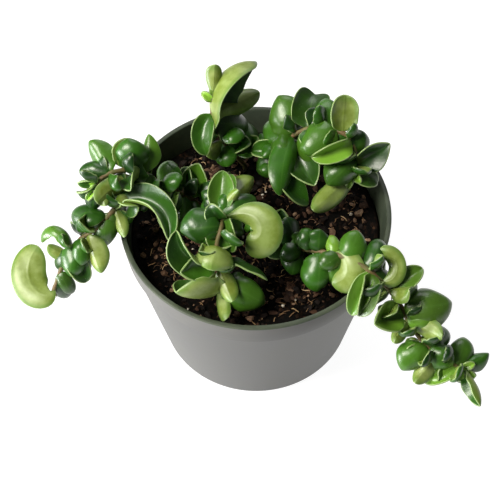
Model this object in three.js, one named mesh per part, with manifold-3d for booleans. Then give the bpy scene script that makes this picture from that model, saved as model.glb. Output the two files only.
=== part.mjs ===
// Potted hindu rope plant: curled leaves on soft vines that trail over a nursery pot.
// Millimetres, +Z up, the origin at the middle of the pot's underside.
import * as THREE from "three";
import { mergeVertices } from "three/addons/utils/BufferGeometryUtils.js";
import Module from "manifold-3d";

const wasm = await Module();
wasm.setup();

// Pot
const POT_HEIGHT = 108;
const RIM_RADIUS = 76;
const LIP_WIDTH = 3;
const RIM_FLARE = 1.4;
const COLLAR_HEIGHT = 16;
const COLLAR_STEP = 1.4;
const BASE_RADIUS = 58;
const WALL = 2;
const FLOOR = 2.4;
const POT_SIDES = 48;
const DRAIN_COUNT = 6;
const DRAIN_RADIUS = 4;
const DRAIN_RING = 44;
const HOLE_SIDES = 12;

// Potting mix
const MIX_TOP = 91;
const MIX_EDGE_DROP = 1;
const MIX_RELIEF = 0.8;
const MIX_SLOPE = 0.012;
const MIX_RINGS = 7;
const MIX_SIDES = 30;
const GAP = 0.3;
const STEM_HOLE_DEPTH = 7;
const STEM_HOLE_CLEARANCE = 0.48;
const STEM_HOLE_OVERSHOOT = 6;

// Stems
const STEM_RADIUS = 1.8;
const STEM_TIP_RADIUS = 1.2;
const STEM_SIDES = 5;
const STEM_STEP = 9;
const ROUTE_STEPS = 24;

// Colours
const POT_COLOR = 0x8d908c;
const MIX_COLOR = 0x3a2a20;
const LEAF_COLOR = 0x3f7a2c;

// Leaf blades. Places along a leaf run from 0 at its root to 1 at its tip, and places across it
// from -1 to 1 at its margins.
const BLADE_THICKNESS = 2.2;
const THICKNESS_SHARE = 1.6;
const TIP_THICKNESS_SHARE = 1.2;
const PETIOLE_END = 0.06;
const PETIOLE_HALF_WIDTH = 1;
const TIP_HALF_WIDTH = 0.5;
const SHORT_LEAF = 19;
const MIDDLE_LEAF = 29;
const SHORT_STATIONS = [0, 0.2, 0.62, 1];
const MIDDLE_STATIONS = [0, 0.12, 0.42, 0.78, 1];
const LONG_STATIONS = [0, 0.1, 0.28, 0.52, 0.78, 1];
const ACROSS_ROUND = [1, 0.38, -0.38, -1];
const ACROSS_CREASED = [1, 0, -1];
const CREASED_FROM = 0.5;
const MIDRIB_STEPS = 60;
const SECTION_STEPS = 24;

// How the blade's outline, curl, bend and fold grow along and across it
const POINTED_OUTLINE = { power: 2, blunt: 0.78 };
const ROUND_OUTLINE = { power: 2.8, blunt: 0.45 };
const WIDEST = 0.85;
const CURL_EASE = 1.1;
const BEND_EASE = 0.75;
const FOLD_EASE = 0.9;
const CREASE_WIDTH = 0.22;
const FOLD_START = 0.02;
const FOLD_LENGTH = 0.2;
const FOLD_AT_ROOT = 0.25;

// The vines are laid out as they look from the front and well above. A leaf's clock turns in
// that picture plane, its toward tips it out of the plane, and its roll turns it on its own axis.
const VIEW_TILT = THREE.MathUtils.degToRad(56.5);
const VIEW_RIGHT = new THREE.Vector3(1, 0, 0);
const VIEW_UP = new THREE.Vector3(0, Math.sin(VIEW_TILT), Math.cos(VIEW_TILT));
const VIEW_OUT = new THREE.Vector3(0, -Math.cos(VIEW_TILT), Math.sin(VIEW_TILT));

// How each kind of leaf is curled. fold lifts the margins, curl bends the midrib to the underside,
// bend turns it sideways (all in degrees), crease sharpens the fold, round blunts the blade, and
// late moves its widest place, and ease the bend, towards the tip.
const FORMS = {
  cup: { fold: 60, curl: 20, crease: 0.2, round: 0.35 },
  scoop: { fold: 62, curl: -50, crease: 0.15, round: 0.35 },
  pod: { fold: 78, curl: -130, crease: 0.45, round: 1 },
  dome: { fold: -62, curl: 85, crease: 0, round: 1 },
  bean: { fold: -80, curl: 100, crease: 0, round: 1 },
  roof: { fold: -55, curl: 60, crease: 0.75, round: 0.35 },
  keel: { fold: 70, curl: 95, crease: 0.65, round: 0.35 },
  boat: { fold: 70, curl: 40, crease: 0.55, round: 0.35 },
  kidney: { fold: 38, curl: 15, crease: 0, round: 1 },
};

// Each vine is a route of points through which its stem runs, the first one in the mix, and rows of
// leaves: mm along the stem, clock, toward and roll in degrees, length and width in mm, and form.
const LEFT = {
  route: [
    [-32, 15, 85],
    [-32, 15, 93],
    [-46, 11, 114],
    [-59, 9, 126],
    [-68, 0, 127],
    [-77, -10, 124],
    [-86, -18, 119],
    [-96, -21, 112],
    [-104, -27, 104],
    [-112, -40, 90],
  ],
  leaves: [
    [18, 75, -10, 0, 22, 20, "scoop"],
    [20, 98, 10, 20, 18, 15, "boat", { curl: 30 }],
    [24, 262, 30, -15, 24, 18, "roof"],
    [33, 258, 45, 0, 27, 17, "boat", { curl: 30 }],
    [38, 82, 15, 0, 20, 20, "bean"],
    [50, 285, -20, 0, 28, 20, "dome"],
    [60, 160, 42, 178, 30, 13, "kidney", { bend: -62 }],
    [68, 320, -10, 0, 20, 16, "bean"],
    [77, 288, 0, 180, 17, 10, "cup", { round: 0 }],
    [80, 250, 10, 0, 20, 16, "dome"],
    [78, 30, 15, 60, 48, 21, "keel", { curl: 90, bend: -92, fold: 66, ease: 1.2 }],
    [84, 148, 25, -55, 30, 18, "bean", { curl: 170, fold: -66 }],
    [84, 262, 20, 0, 20, 18, "bean"],
    [88, 160, 30, 0, 24, 17, "bean", { curl: 120, fold: -62 }],
    [97, 280, 10, 155, 23, 17, "cup", { curl: -30 }],
    [103, 268, 45, 0, 17, 14, "bean"],
    [109, 262, 40, 0, 20, 19, "bean"],
    [114, 75, 15, -75, 33, 15, "bean", { curl: 200 }],
    [112, 300, -10, 0, 24, 15, "dome"],
    [115, 305, -5, 20, 19, 15, "cup"],
    [113, 238, 14, 0, 17, 14, "bean"],
    [117, 150, 0, 170, 12, 9, "cup"],
    [126, 292, 15, 0, 18, 13, "bean"],
    [137, 265, 20, 180, 41, 20, "kidney", { fold: 20, bend: 212, late: 0.95, ease: 0.4 }],
    [131, 292, -12, 0, 21, 13, "bean"],
  ],
};
const UPPER_LEFT = {
  route: [
    [-54, 10, 122],
    [-58, 8, 131],
    [-67, 7, 138],
    [-76, 4, 140],
    [-82, 1, 139],
    [-86, -4, 136],
  ],
  leaves: [
    [13, 86, 5, 20, 22, 17, "roof", { curl: 15, round: 0.1 }],
    [14, 130, -20, 0, 20, 18, "dome"],
    [16, 280, 0, 0, 22, 20, "dome"],
    [23, 92, -20, 180, 18, 19, "dome", { curl: 60 }],
    [22, 92, 60, 0, 20, 28, "bean"],
    [32, 128, 0, 10, 22, 18, "roof", { curl: 20, crease: 0.3 }],
    [33, 176, 10, 0, 18, 15, "bean", { curl: 40 }],
    [39, 198, 10, 60, 13, 8, "cup"],
    [42, 235, 10, 60, 14, 10, "cup", { curl: 90 }],
    [42, 290, 10, 180, 14, 9, "cup"],
    [44, 258, 10, 0, 17, 14, "bean"],
  ],
};
const CENTRE = {
  route: [
    [-21, 21, 85],
    [-21, 21, 93],
    [-19, -3, 116],
    [-18, -24, 136],
    [-18, -34, 140],
    [-20, -40, 136],
    [-20, -45, 126],
    [-17, -49, 108],
  ],
  leaves: [
    [50, 74, -10, 0, 22, 14, "cup"],
    [50, 46, -5, 180, 32, 19, "pod", { fold: 60, curl: -60 }],
    [62, 150, -20, 0, 24, 18, "dome"],
    [68, 89, 0, 10, 25, 18, "cup", { fold: 58, round: 0.05 }],
    [68, 58, 10, 170, 19, 9, "boat"],
    [68, 28, 30, 0, 25, 20, "bean"],
    [73, 18, 14, 180, 40, 24, "kidney", { fold: 40, bend: 240, late: 2.6, ease: 2 }],
    [74, 280, 35, -10, 19, 23, "cup", { fold: 70, curl: 70 }],
    [80, 186, 40, 0, 25, 28, "bean"],
    [79, 215, 45, 0, 16, 15, "bean"],
    [92, 256, 75, 180, 17, 23, "kidney", { fold: 50, curl: -90 }],
    [103, 178, 12, 55, 33, 25, "keel", { curl: 50, bend: -70, fold: 72, ease: 1.2 }],
    [100, 352, 5, 70, 29, 11, "cup", { fold: 15, curl: 35 }],
    [106, 292, 10, 180, 20, 13, "cup"],
    [102, 194, 5, 0, 23, 18, "scoop"],
    [115, 330, 42, 0, 30, 26, "bean"],
    [119, 220, 28, -62, 33, 32, "keel", { curl: -65, fold: 66, round: 1, crease: 0.3 }],
    [119, 256, 10, 150, 21, 9, "kidney", { bend: -40 }],
  ],
};
const TOP = {
  route: [
    [-6, 43, 85],
    [-6, 43, 93],
    [-12, 42, 106],
    [-18, 41, 120],
    [-23, 44, 134],
    [-23, 51, 145],
  ],
  leaves: [
    [22, 35, -10, 0, 18, 18, "scoop"],
    [38, 224, 10, 175, 14, 12, "cup", { late: 1.5 }],
    [38, 20, -10, 0, 34, 26, "dome"],
    [40, 118, 18, -50, 60, 34, "keel", { curl: -90, bend: -90, fold: 58, round: 1, ease: 1.4 }],
    [51, 0, -15, 0, 34, 26, "dome"],
    [57, 224, 8, 0, 25, 16, "cup", { bend: 70 }],
    [56, 30, -35, 175, 34, 17, "cup", { round: 0.9 }],
    [66, 85, 10, 180, 19, 10, "cup", { late: 1.6, fold: 40 }],
  ],
};
const BACK = {
  route: [
    [15, 38, 85],
    [15, 38, 93],
    [16, 38, 112],
    [21, 35, 130],
    [32, 33, 140],
    [44, 27, 145],
    [52, 23, 143],
    [55, 18, 136],
    [53, 12, 124],
  ],
  leaves: [
    [22, 206, 10, 0, 20, 20, "dome"],
    [31, 184, 0, 0, 19, 16, "cup", { fold: 75 }],
    [36, 122, 0, 0, 28, 20, "bean"],
    [44, 140, -10, 0, 27, 22, "dome"],
    [44, 295, 0, 0, 34, 24, "scoop"],
    [46, 108, 45, 0, 28, 31, "bean"],
    [46, 235, 60, 0, 20, 18, "bean"],
    [47, 240, 40, 0, 38, 17, "roof", { fold: -40, curl: 45, crease: 0.3, bend: 30 }],
    [38, 242, 36, 10, 45, 20, "cup", { fold: 50, curl: 20, bend: 115, ease: 1.2, late: 1.3 }],
    [57, 80, 5, 12, 24, 24, "cup", { curl: 60, fold: 52, round: 1 }],
    [61, 60, -30, 0, 28, 24, "dome"],
    [65, 265, 5, 0, 32, 28, "bean"],
    [69, 86, 20, 0, 22, 19, "bean"],
    [77, 205, 45, 0, 26, 28, "bean"],
    [79, 262, -10, 0, 32, 26, "dome"],
    [80, 90, 5, 160, 21, 18, "dome", { curl: 20, fold: -48 }],
    [84, 350, 15, 0, 16, 17, "bean"],
    [88, 205, 25, 20, 25, 18, "boat"],
    [98, 222, 50, 0, 24, 24, "bean"],
    [102, 35, 10, -30, 24, 21, "boat", { fold: 50, curl: -20, round: 0 }],
    [106, 340, -10, 0, 17, 13, "cup"],
    [108, 222, 5, 180, 30, 16, "cup"],
  ],
};
const RIGHT = {
  route: [
    [9, -8, 85],
    [9, -8, 93],
    [19, -22, 106],
    [30, -33, 118],
    [45, -41, 124],
    [58, -48, 123],
    [69, -54, 114],
    [77, -59, 103],
    [85, -69, 92],
    [97, -78, 83],
    [112, -84, 76],
  ],
  leaves: [
    [12, 75, 0, 0, 19, 18, "scoop"],
    [30, 60, 60, 0, 11, 15, "bean"],
    [36, 85, 60, 0, 10, 18, "bean"],
    [36, 262, 55, 0, 18, 19, "bean"],
    [46, 100, 60, 0, 12, 17, "bean"],
    [56, 264, 38, 0, 25, 25, "bean"],
    [54, 85, 60, 0, 14, 22, "bean"],
    [64, 98, 10, 0, 14, 11, "bean"],
    [67, 212, 45, 0, 14, 15, "bean"],
    [64, 15, 30, 180, 27, 21, "kidney", { fold: 48, bend: 195, late: 1.4, round: 0.3 }],
    [68, 255, 0, 0, 22, 18, "dome"],
    [72, 68, 30, 0, 19, 22, "bean"],
    [85, 70, 12, 0, 24, 17, "bean"],
    [85, 248, 0, 0, 26, 15, "cup"],
    [87, 320, 0, 0, 20, 20, "bean"],
    [86, 260, 15, 20, 25, 17, "boat"],
    [94, 345, 10, 178, 28, 10, "kidney", { fold: 30, bend: -190 }],
    [103, 15, 15, 0, 20, 14, "bean"],
    [103, 40, 10, 20, 21, 15, "cup"],
    [116, 8, 40, 0, 31, 32, "bean"],
    [118, 195, 20, 0, 26, 22, "scoop"],
    [122, 238, 0, 180, 15, 10, "cup"],
    [120, 352, 42, 0, 23, 20, "bean"],
    [124, 338, 25, 165, 21, 15, "cup"],
    [135, 356, 12, 0, 24, 20, "bean"],
    [139, 228, 40, 0, 22, 24, "bean"],
    [148, 230, 0, 175, 20, 13, "cup"],
    [142, 325, 45, 0, 18, 21, "bean"],
    [161, 207, 0, 0, 20, 11, "cup"],
    [160, 70, 20, 0, 20, 20, "bean"],
    [163, 285, 0, 0, 14, 12, "bean"],
    [164, 32, 10, 10, 19, 15, "roof", { round: 0 }],
    [164, 315, 10, -50, 24, 15, "keel", { curl: -60 }],
  ],
};

// Curves

// A smooth curve through the middle two of four points.
function catmullRom(a, b, c, d, t) {
  const slope = c.clone().sub(a);
  const square = a.clone().multiplyScalar(2).addScaledVector(b, -5).addScaledVector(c, 4).sub(d);
  const cube = b.clone().multiplyScalar(3).sub(a).addScaledVector(c, -3).add(d);
  const sum = b.clone().multiplyScalar(2).addScaledVector(slope, t);
  return sum.addScaledVector(square, t * t).addScaledVector(cube, t ** 3).multiplyScalar(0.5);
}

// A stem's curve as short straight lines, with the length run so far at each point.
function routeOf(points) {
  const p = points.map((q) => new THREE.Vector3(...q));
  const before = p[0].clone().multiplyScalar(2).sub(p[1]);
  const after = p.at(-1).clone().multiplyScalar(2).sub(p.at(-2));
  const knots = [before, ...p, after];
  const line = [];
  for (let i = 1; i < knots.length - 2; i += 1) {
    for (let k = 0; k < ROUTE_STEPS; k += 1) {
      const share = k / ROUTE_STEPS;
      line.push(catmullRom(knots[i - 1], knots[i], knots[i + 1], knots[i + 2], share));
    }
  }
  line.push(p.at(-1).clone());
  const along = [0];
  for (let i = 1; i < line.length; i += 1) {
    along.push(along[i - 1] + line[i].distanceTo(line[i - 1]));
  }
  return { line, along, length: along.at(-1) };
}

function pointAt(route, s) {
  const last = route.along.length - 1;
  let i = 1;
  while (i < last && route.along[i] < s) i += 1;
  const span = route.along[i] - route.along[i - 1];
  const share = THREE.MathUtils.clamp((s - route.along[i - 1]) / span, 0, 1);
  return route.line[i - 1].clone().lerp(route.line[i], share);
}

// Solids

function solidFrom(geometry) {
  geometry.deleteAttribute("normal");
  geometry.deleteAttribute("uv");
  const merged = mergeVertices(geometry, 1e-4);
  return new wasm.Manifold(
    new wasm.Mesh({
      numProp: 3,
      vertProperties: new Float32Array(merged.attributes.position.array),
      triVerts: new Uint32Array(merged.index.array),
    }),
  );
}

function geometryFrom(solid) {
  const mesh = solid.getMesh();
  const geometry = new THREE.BufferGeometry();
  geometry.setAttribute("position", new THREE.BufferAttribute(mesh.vertProperties, 3));
  geometry.setIndex(new THREE.BufferAttribute(mesh.triVerts, 1));
  geometry.computeVertexNormals();
  return geometry;
}

// A closed skin over rings of equal point counts, with a flat or pointed end at either side.
function skin(rings) {
  const sides = rings[0].length;
  const position = rings.flat().flatMap((p) => [p.x, p.y, p.z]);
  const index = [];
  for (let i = 0; i < rings.length - 1; i += 1) {
    for (let j = 0; j < sides; j += 1) {
      const a = i * sides + j;
      const b = i * sides + ((j + 1) % sides);
      index.push(a, b, b + sides, a, b + sides, a + sides);
    }
  }
  const last = (rings.length - 1) * sides;
  for (let j = 1; j < sides - 1; j += 1) {
    index.push(0, j + 1, j);
    index.push(last, last + j, last + j + 1);
  }
  const geometry = new THREE.BufferGeometry();
  geometry.setAttribute("position", new THREE.Float32BufferAttribute(position, 3));
  geometry.setIndex(index);
  return geometry;
}

// Leaves

// Half width as a share of the widest: a narrow petiole, then a blade, blunt where round is 1.
function bladeShare(u, form) {
  if (u <= PETIOLE_END) return 0;
  const x = ((u - PETIOLE_END) / (1 - PETIOLE_END)) ** (form.late ?? WIDEST);
  const power = THREE.MathUtils.lerp(POINTED_OUTLINE.power, ROUND_OUTLINE.power, form.round);
  const blunt = THREE.MathUtils.lerp(POINTED_OUTLINE.blunt, ROUND_OUTLINE.blunt, form.round);
  return Math.max(1 - Math.abs(2 * x - 1) ** power, 0) ** blunt;
}

// The midrib in the leaf's own frame: +X out along the leaf, +Y to its side, +Z its upper face.
function midribOf(length, form) {
  const turn = (u, power) => THREE.MathUtils.clamp((u - PETIOLE_END) / (1 - PETIOLE_END), 0, 1) ** power;
  const ease = form.ease ?? BEND_EASE;
  const place = new THREE.Vector3();
  const frame = new THREE.Matrix4();
  const stations = [{ place: place.clone(), frame: frame.clone() }];
  for (let i = 0; i < MIDRIB_STEPS; i += 1) {
    const u = i / MIDRIB_STEPS;
    const next = (i + 1) / MIDRIB_STEPS;
    const slow = turn(next, CURL_EASE) - turn(u, CURL_EASE);
    const quick = turn(next, ease) - turn(u, ease);
    const curl = THREE.MathUtils.degToRad(form.curl) * slow;
    const bend = THREE.MathUtils.degToRad(form.bend ?? 0) * quick;
    frame.multiply(new THREE.Matrix4().makeRotationY(curl));
    frame.multiply(new THREE.Matrix4().makeRotationZ(bend));
    const out = new THREE.Vector3().setFromMatrixColumn(frame, 0);
    place.addScaledVector(out, length / MIDRIB_STEPS);
    stations.push({ place: place.clone(), frame: frame.clone() });
  }
  return stations;
}

// A point across the blade, v from -1 to 1, with the slope of the blade there.
function acrossBlade(halfWidth, fold, crease, v) {
  const reach = Math.abs(v);
  let side = 0;
  let rise = 0;
  let slope = 0;
  for (let k = 0; k < SECTION_STEPS; k += 1) {
    const mid = ((k + 0.5) / SECTION_STEPS) * reach;
    slope = fold * ((1 - crease) * mid ** FOLD_EASE + crease * Math.min(mid / CREASE_WIDTH, 1));
    side += (Math.cos(slope) * reach) / SECTION_STEPS;
    rise += (Math.sin(slope) * reach) / SECTION_STEPS;
  }
  return { side: Math.sign(v) * side * halfWidth, rise: rise * halfWidth, slope: Math.sign(v) * slope };
}

function leafStations(length) {
  if (length < SHORT_LEAF) return SHORT_STATIONS;
  if (length < MIDDLE_LEAF) return MIDDLE_STATIONS;
  return LONG_STATIONS;
}

// The leaf's own axes, out, side and upper, in the plant's frame.
function leafFrame(clock, toward, roll) {
  const c = THREE.MathUtils.degToRad(clock);
  const t = THREE.MathUtils.degToRad(toward);
  const r = THREE.MathUtils.degToRad(roll);
  const out = VIEW_RIGHT.clone().multiplyScalar(Math.cos(t) * Math.cos(c));
  out.addScaledVector(VIEW_UP, Math.cos(t) * Math.sin(c));
  out.addScaledVector(VIEW_OUT, Math.sin(t));
  const facing = VIEW_OUT.clone().addScaledVector(out, -out.dot(VIEW_OUT)).normalize();
  const beside = facing.clone().cross(out);
  const upper = facing.multiplyScalar(Math.cos(r)).addScaledVector(beside, Math.sin(r));
  const side = upper.clone().cross(out);
  return new THREE.Matrix4().makeBasis(out, side, upper);
}

// A lens-shaped skin round the blade: upper points from one margin to the other, then under ones.
function leafGeometry(route, row) {
  const [s, clock, toward, roll, length, width, kind, changes] = row;
  const form = { ...FORMS[kind], ...changes };
  const midrib = midribOf(length, form);
  const across = form.crease < CREASED_FROM ? ACROSS_ROUND : ACROSS_CREASED;
  const placed = leafFrame(clock, toward, roll).setPosition(pointAt(route, s));
  const rings = leafStations(length).map((u) => {
    const station = midrib[Math.round(u * MIDRIB_STEPS)];
    const tip = u === 1;
    const share = bladeShare(u, form);
    const halfWidth = tip ? TIP_HALF_WIDTH : Math.max((share * width) / 2, PETIOLE_HALF_WIDTH);
    const opening = THREE.MathUtils.clamp((u - FOLD_START) / FOLD_LENGTH, FOLD_AT_ROOT, 1);
    const fold = THREE.MathUtils.degToRad(form.fold) * opening;
    const thick = Math.min(BLADE_THICKNESS, halfWidth * (tip ? TIP_THICKNESS_SHARE : THICKNESS_SHARE));
    const upper = [];
    const under = [];
    for (const v of across) {
      const at = acrossBlade(halfWidth, fold, form.crease, v);
      const half = (thick / 2) * (1 - Math.abs(v) ** 3);
      const normal = new THREE.Vector3(0, -Math.sin(at.slope), Math.cos(at.slope));
      const middle = new THREE.Vector3(0, at.side, at.rise);
      upper.push(middle.clone().addScaledVector(normal, half));
      if (Math.abs(v) < 1) under.unshift(middle.addScaledVector(normal, -half));
    }
    return [...upper, ...under].map((p) =>
      p.applyMatrix4(station.frame).add(station.place).applyMatrix4(placed),
    );
  });
  return skin(rings);
}

// Stems

function stemGeometry(route) {
  const count = Math.ceil(route.length / STEM_STEP);
  const rings = [];
  let across = new THREE.Vector3(1, 0, 0);
  for (let i = 0; i <= count; i += 1) {
    const s = (route.length * i) / count;
    const here = pointAt(route, s);
    const ahead = pointAt(route, Math.min(s + 1, route.length));
    const behind = pointAt(route, Math.max(s - 1, 0));
    const along = ahead.sub(behind).normalize();
    across = across.addScaledVector(along, -across.dot(along)).normalize();
    const over = along.clone().cross(across);
    const radius = THREE.MathUtils.lerp(STEM_RADIUS, STEM_TIP_RADIUS, i / count);
    const ring = [];
    for (let k = 0; k < STEM_SIDES; k += 1) {
      const a = (2 * Math.PI * k) / STEM_SIDES;
      const p = here.clone().addScaledVector(across, radius * Math.cos(a));
      ring.push(p.addScaledVector(over, radius * Math.sin(a)));
    }
    rings.push(ring);
  }
  return skin(rings);
}

// Joins stems and leaves in one body, fills the hollows that the leaves close off between them
// and drops loose scraps.
function fuse(solids) {
  const whole = wasm.Manifold.union(solids);
  const bodies = whole.decompose().filter((body) => body.volume() > 0);
  bodies.sort((a, b) => b.volume() - a.volume());
  return bodies[0];
}

function vineSolid(...branches) {
  const solids = [];
  for (const branch of branches) {
    const route = routeOf(branch.route);
    solids.push(solidFrom(stemGeometry(route)));
    for (const row of branch.leaves) {
      solids.push(solidFrom(leafGeometry(route, row)));
    }
  }
  return fuse(solids);
}

// Pot: flat lip, upright collar, tapered wall and a floor with drainage holes.
const COLLAR_BOTTOM = POT_HEIGHT - COLLAR_HEIGHT;
const COLLAR_RADIUS = RIM_RADIUS - RIM_FLARE;
const INNER_RIM = RIM_RADIUS - LIP_WIDTH;
const INNER_COLLAR = COLLAR_RADIUS - COLLAR_STEP - WALL;
const INNER_BASE = BASE_RADIUS - WALL;

function upright(radius, height, sides) {
  return new THREE.CylinderGeometry(radius, radius, height, sides).rotateX(Math.PI / 2);
}

function lathe(profile, sides) {
  const points = profile.map(([r, z]) => new THREE.Vector2(r, z));
  return new THREE.LatheGeometry(points, sides).rotateX(Math.PI / 2);
}

function potGeometry() {
  const shell = lathe(
    [
      [0, 0],
      [BASE_RADIUS, 0],
      [COLLAR_RADIUS - COLLAR_STEP, COLLAR_BOTTOM],
      [COLLAR_RADIUS, COLLAR_BOTTOM],
      [RIM_RADIUS, POT_HEIGHT],
      [INNER_RIM, POT_HEIGHT],
      [INNER_COLLAR, COLLAR_BOTTOM],
      [INNER_BASE, FLOOR],
      [0, FLOOR],
    ],
    POT_SIDES,
  );
  let pot = solidFrom(shell);
  for (let k = 0; k < DRAIN_COUNT; k += 1) {
    const a = (2 * Math.PI * (k + 0.5)) / DRAIN_COUNT;
    const drain = upright(DRAIN_RADIUS, FLOOR * 3, HOLE_SIDES);
    drain.translate(DRAIN_RING * Math.cos(a), DRAIN_RING * Math.sin(a), FLOOR / 2);
    pot = pot.subtract(solidFrom(drain));
  }
  return geometryFrom(pot);
}

// Potting mix: fills the pot, with a lumpy top and a plain hole for each stem.

function innerRadius(z) {
  const share = (z - FLOOR) / (COLLAR_BOTTOM - FLOOR);
  return INNER_BASE + (INNER_COLLAR - INNER_BASE) * share;
}

// The top of the mix: uneven lumps on a surface that falls slightly to the back left.
function mixHeight(x, y) {
  const lumps = Math.sin(x / 5.3 + 1) * Math.cos(y / 6.1) + 0.6 * Math.sin((x + y) / 3.7);
  return MIX_TOP + MIX_SLOPE * (x - y) + MIX_RELIEF * lumps;
}

function mixGeometry(feet) {
  const edge = MIX_TOP - MIX_EDGE_DROP;
  const rim = innerRadius(edge) - GAP;
  const profile = [
    [0, FLOOR + GAP],
    [INNER_BASE - GAP, FLOOR + GAP],
    [rim, edge],
  ];
  for (let k = 1; k <= MIX_RINGS; k += 1) {
    profile.push([rim * (1 - k / MIX_RINGS), MIX_TOP]);
  }
  const bed = lathe(profile, MIX_SIDES);
  const place = bed.attributes.position;
  for (let i = 0; i < place.count; i += 1) {
    if (place.getZ(i) > MIX_TOP - GAP) {
      place.setZ(i, mixHeight(place.getX(i), place.getY(i)));
    }
  }
  let mix = solidFrom(bed);
  for (const foot of feet) {
    const height = 2 * STEM_HOLE_DEPTH + STEM_HOLE_OVERSHOOT;
    const hole = upright(STEM_RADIUS + STEM_HOLE_CLEARANCE, height, HOLE_SIDES);
    hole.translate(foot[0], foot[1], foot[2] - GAP + height / 2);
    mix = mix.subtract(solidFrom(hole));
  }
  return geometryFrom(mix);
}

// Assembly

function part(name, geometry, color, roughness) {
  const material = new THREE.MeshStandardMaterial({ color, roughness, metalness: 0 });
  const mesh = new THREE.Mesh(geometry, material);
  mesh.name = name;
  return mesh;
}

function vine(name, ...branches) {
  return part(name, geometryFrom(vineSolid(...branches)), LEAF_COLOR, 0.35);
}

const feet = [LEFT, CENTRE, TOP, BACK, RIGHT].map((branch) => branch.route[0]);
const plant = new THREE.Group();
plant.add(part("pot", potGeometry(), POT_COLOR, 0.55));
plant.add(part("potting_mix", mixGeometry(feet), MIX_COLOR, 0.95));
plant.add(vine("left_vine", LEFT, UPPER_LEFT));
plant.add(vine("centre_vine", CENTRE));
plant.add(vine("top_vine", TOP));
plant.add(vine("back_vine", BACK));
plant.add(vine("right_vine", RIGHT));

export default plant;
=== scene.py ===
"""A potted hindu rope plant: curled waxy leaves on trailing vines in a grey nursery pot.

Sizes are millimetres in the lists and formulas here, and metres once they reach a mesh.
"""
import math
import random

import bmesh
import bpy
from mathutils import Matrix, Vector, noise


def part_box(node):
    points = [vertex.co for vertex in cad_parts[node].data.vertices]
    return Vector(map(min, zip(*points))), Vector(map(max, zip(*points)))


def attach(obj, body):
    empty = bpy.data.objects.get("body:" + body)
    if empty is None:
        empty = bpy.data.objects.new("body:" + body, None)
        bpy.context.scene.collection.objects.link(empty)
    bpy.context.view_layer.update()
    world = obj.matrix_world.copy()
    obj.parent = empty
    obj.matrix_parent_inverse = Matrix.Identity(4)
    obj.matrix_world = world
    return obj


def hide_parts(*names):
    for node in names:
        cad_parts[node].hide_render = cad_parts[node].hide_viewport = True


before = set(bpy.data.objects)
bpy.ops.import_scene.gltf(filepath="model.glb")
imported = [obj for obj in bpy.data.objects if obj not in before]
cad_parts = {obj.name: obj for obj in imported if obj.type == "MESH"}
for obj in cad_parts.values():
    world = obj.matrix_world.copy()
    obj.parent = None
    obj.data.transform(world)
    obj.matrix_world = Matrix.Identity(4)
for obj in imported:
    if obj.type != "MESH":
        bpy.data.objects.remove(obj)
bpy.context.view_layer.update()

bl_info = {
    "name": "Potted hindu rope plant",
    "version": (1, 0, 0),
    "blender": (4, 5, 0),
    "location": "View3D > Sidebar > Rope plant",
    "description": "Builds a wax plant whose curled leaves trail over a nursery pot",
    "category": "Add Mesh",
}

MM = 0.001
POT_LOW, POT_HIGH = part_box("pot")

# The vines are laid out as they look from the front and well above. A leaf's clock turns in that
# picture plane, its toward tips it out of the plane, and its roll turns it on its own axis.
VIEW_TILT = math.radians(56.5)
VIEW_RIGHT = Vector((1, 0, 0))
VIEW_UP = Vector((0, math.sin(VIEW_TILT), math.cos(VIEW_TILT)))
VIEW_OUT = Vector((0, -math.cos(VIEW_TILT), math.sin(VIEW_TILT)))

# How each kind of leaf is curled. fold lifts the margins, curl bends the midrib to the underside,
# bend turns it sideways (all in degrees), crease sharpens the fold, round blunts the blade, and
# late moves its widest place towards the tip. A row may also give ease, which puts the bend near
# the root below 1 and near the tip above 1, and young, from 0 for a dark grown leaf to 1 for new
# growth.
FORMS = {
    "cup": {"fold": 60, "curl": 20, "crease": 0.2, "round": 0.35},
    "scoop": {"fold": 62, "curl": -50, "crease": 0.15, "round": 0.35},
    "pod": {"fold": 78, "curl": -130, "crease": 0.45, "round": 1},
    "dome": {"fold": -62, "curl": 85, "crease": 0, "round": 1},
    "bean": {"fold": -80, "curl": 100, "crease": 0, "round": 1},
    "roof": {"fold": -55, "curl": 60, "crease": 0.75, "round": 0.35},
    "keel": {"fold": 70, "curl": 95, "crease": 0.65, "round": 0.35},
    "boat": {"fold": 70, "curl": 40, "crease": 0.55, "round": 0.35},
    "kidney": {"fold": 38, "curl": 15, "crease": 0, "round": 1},
}

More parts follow.
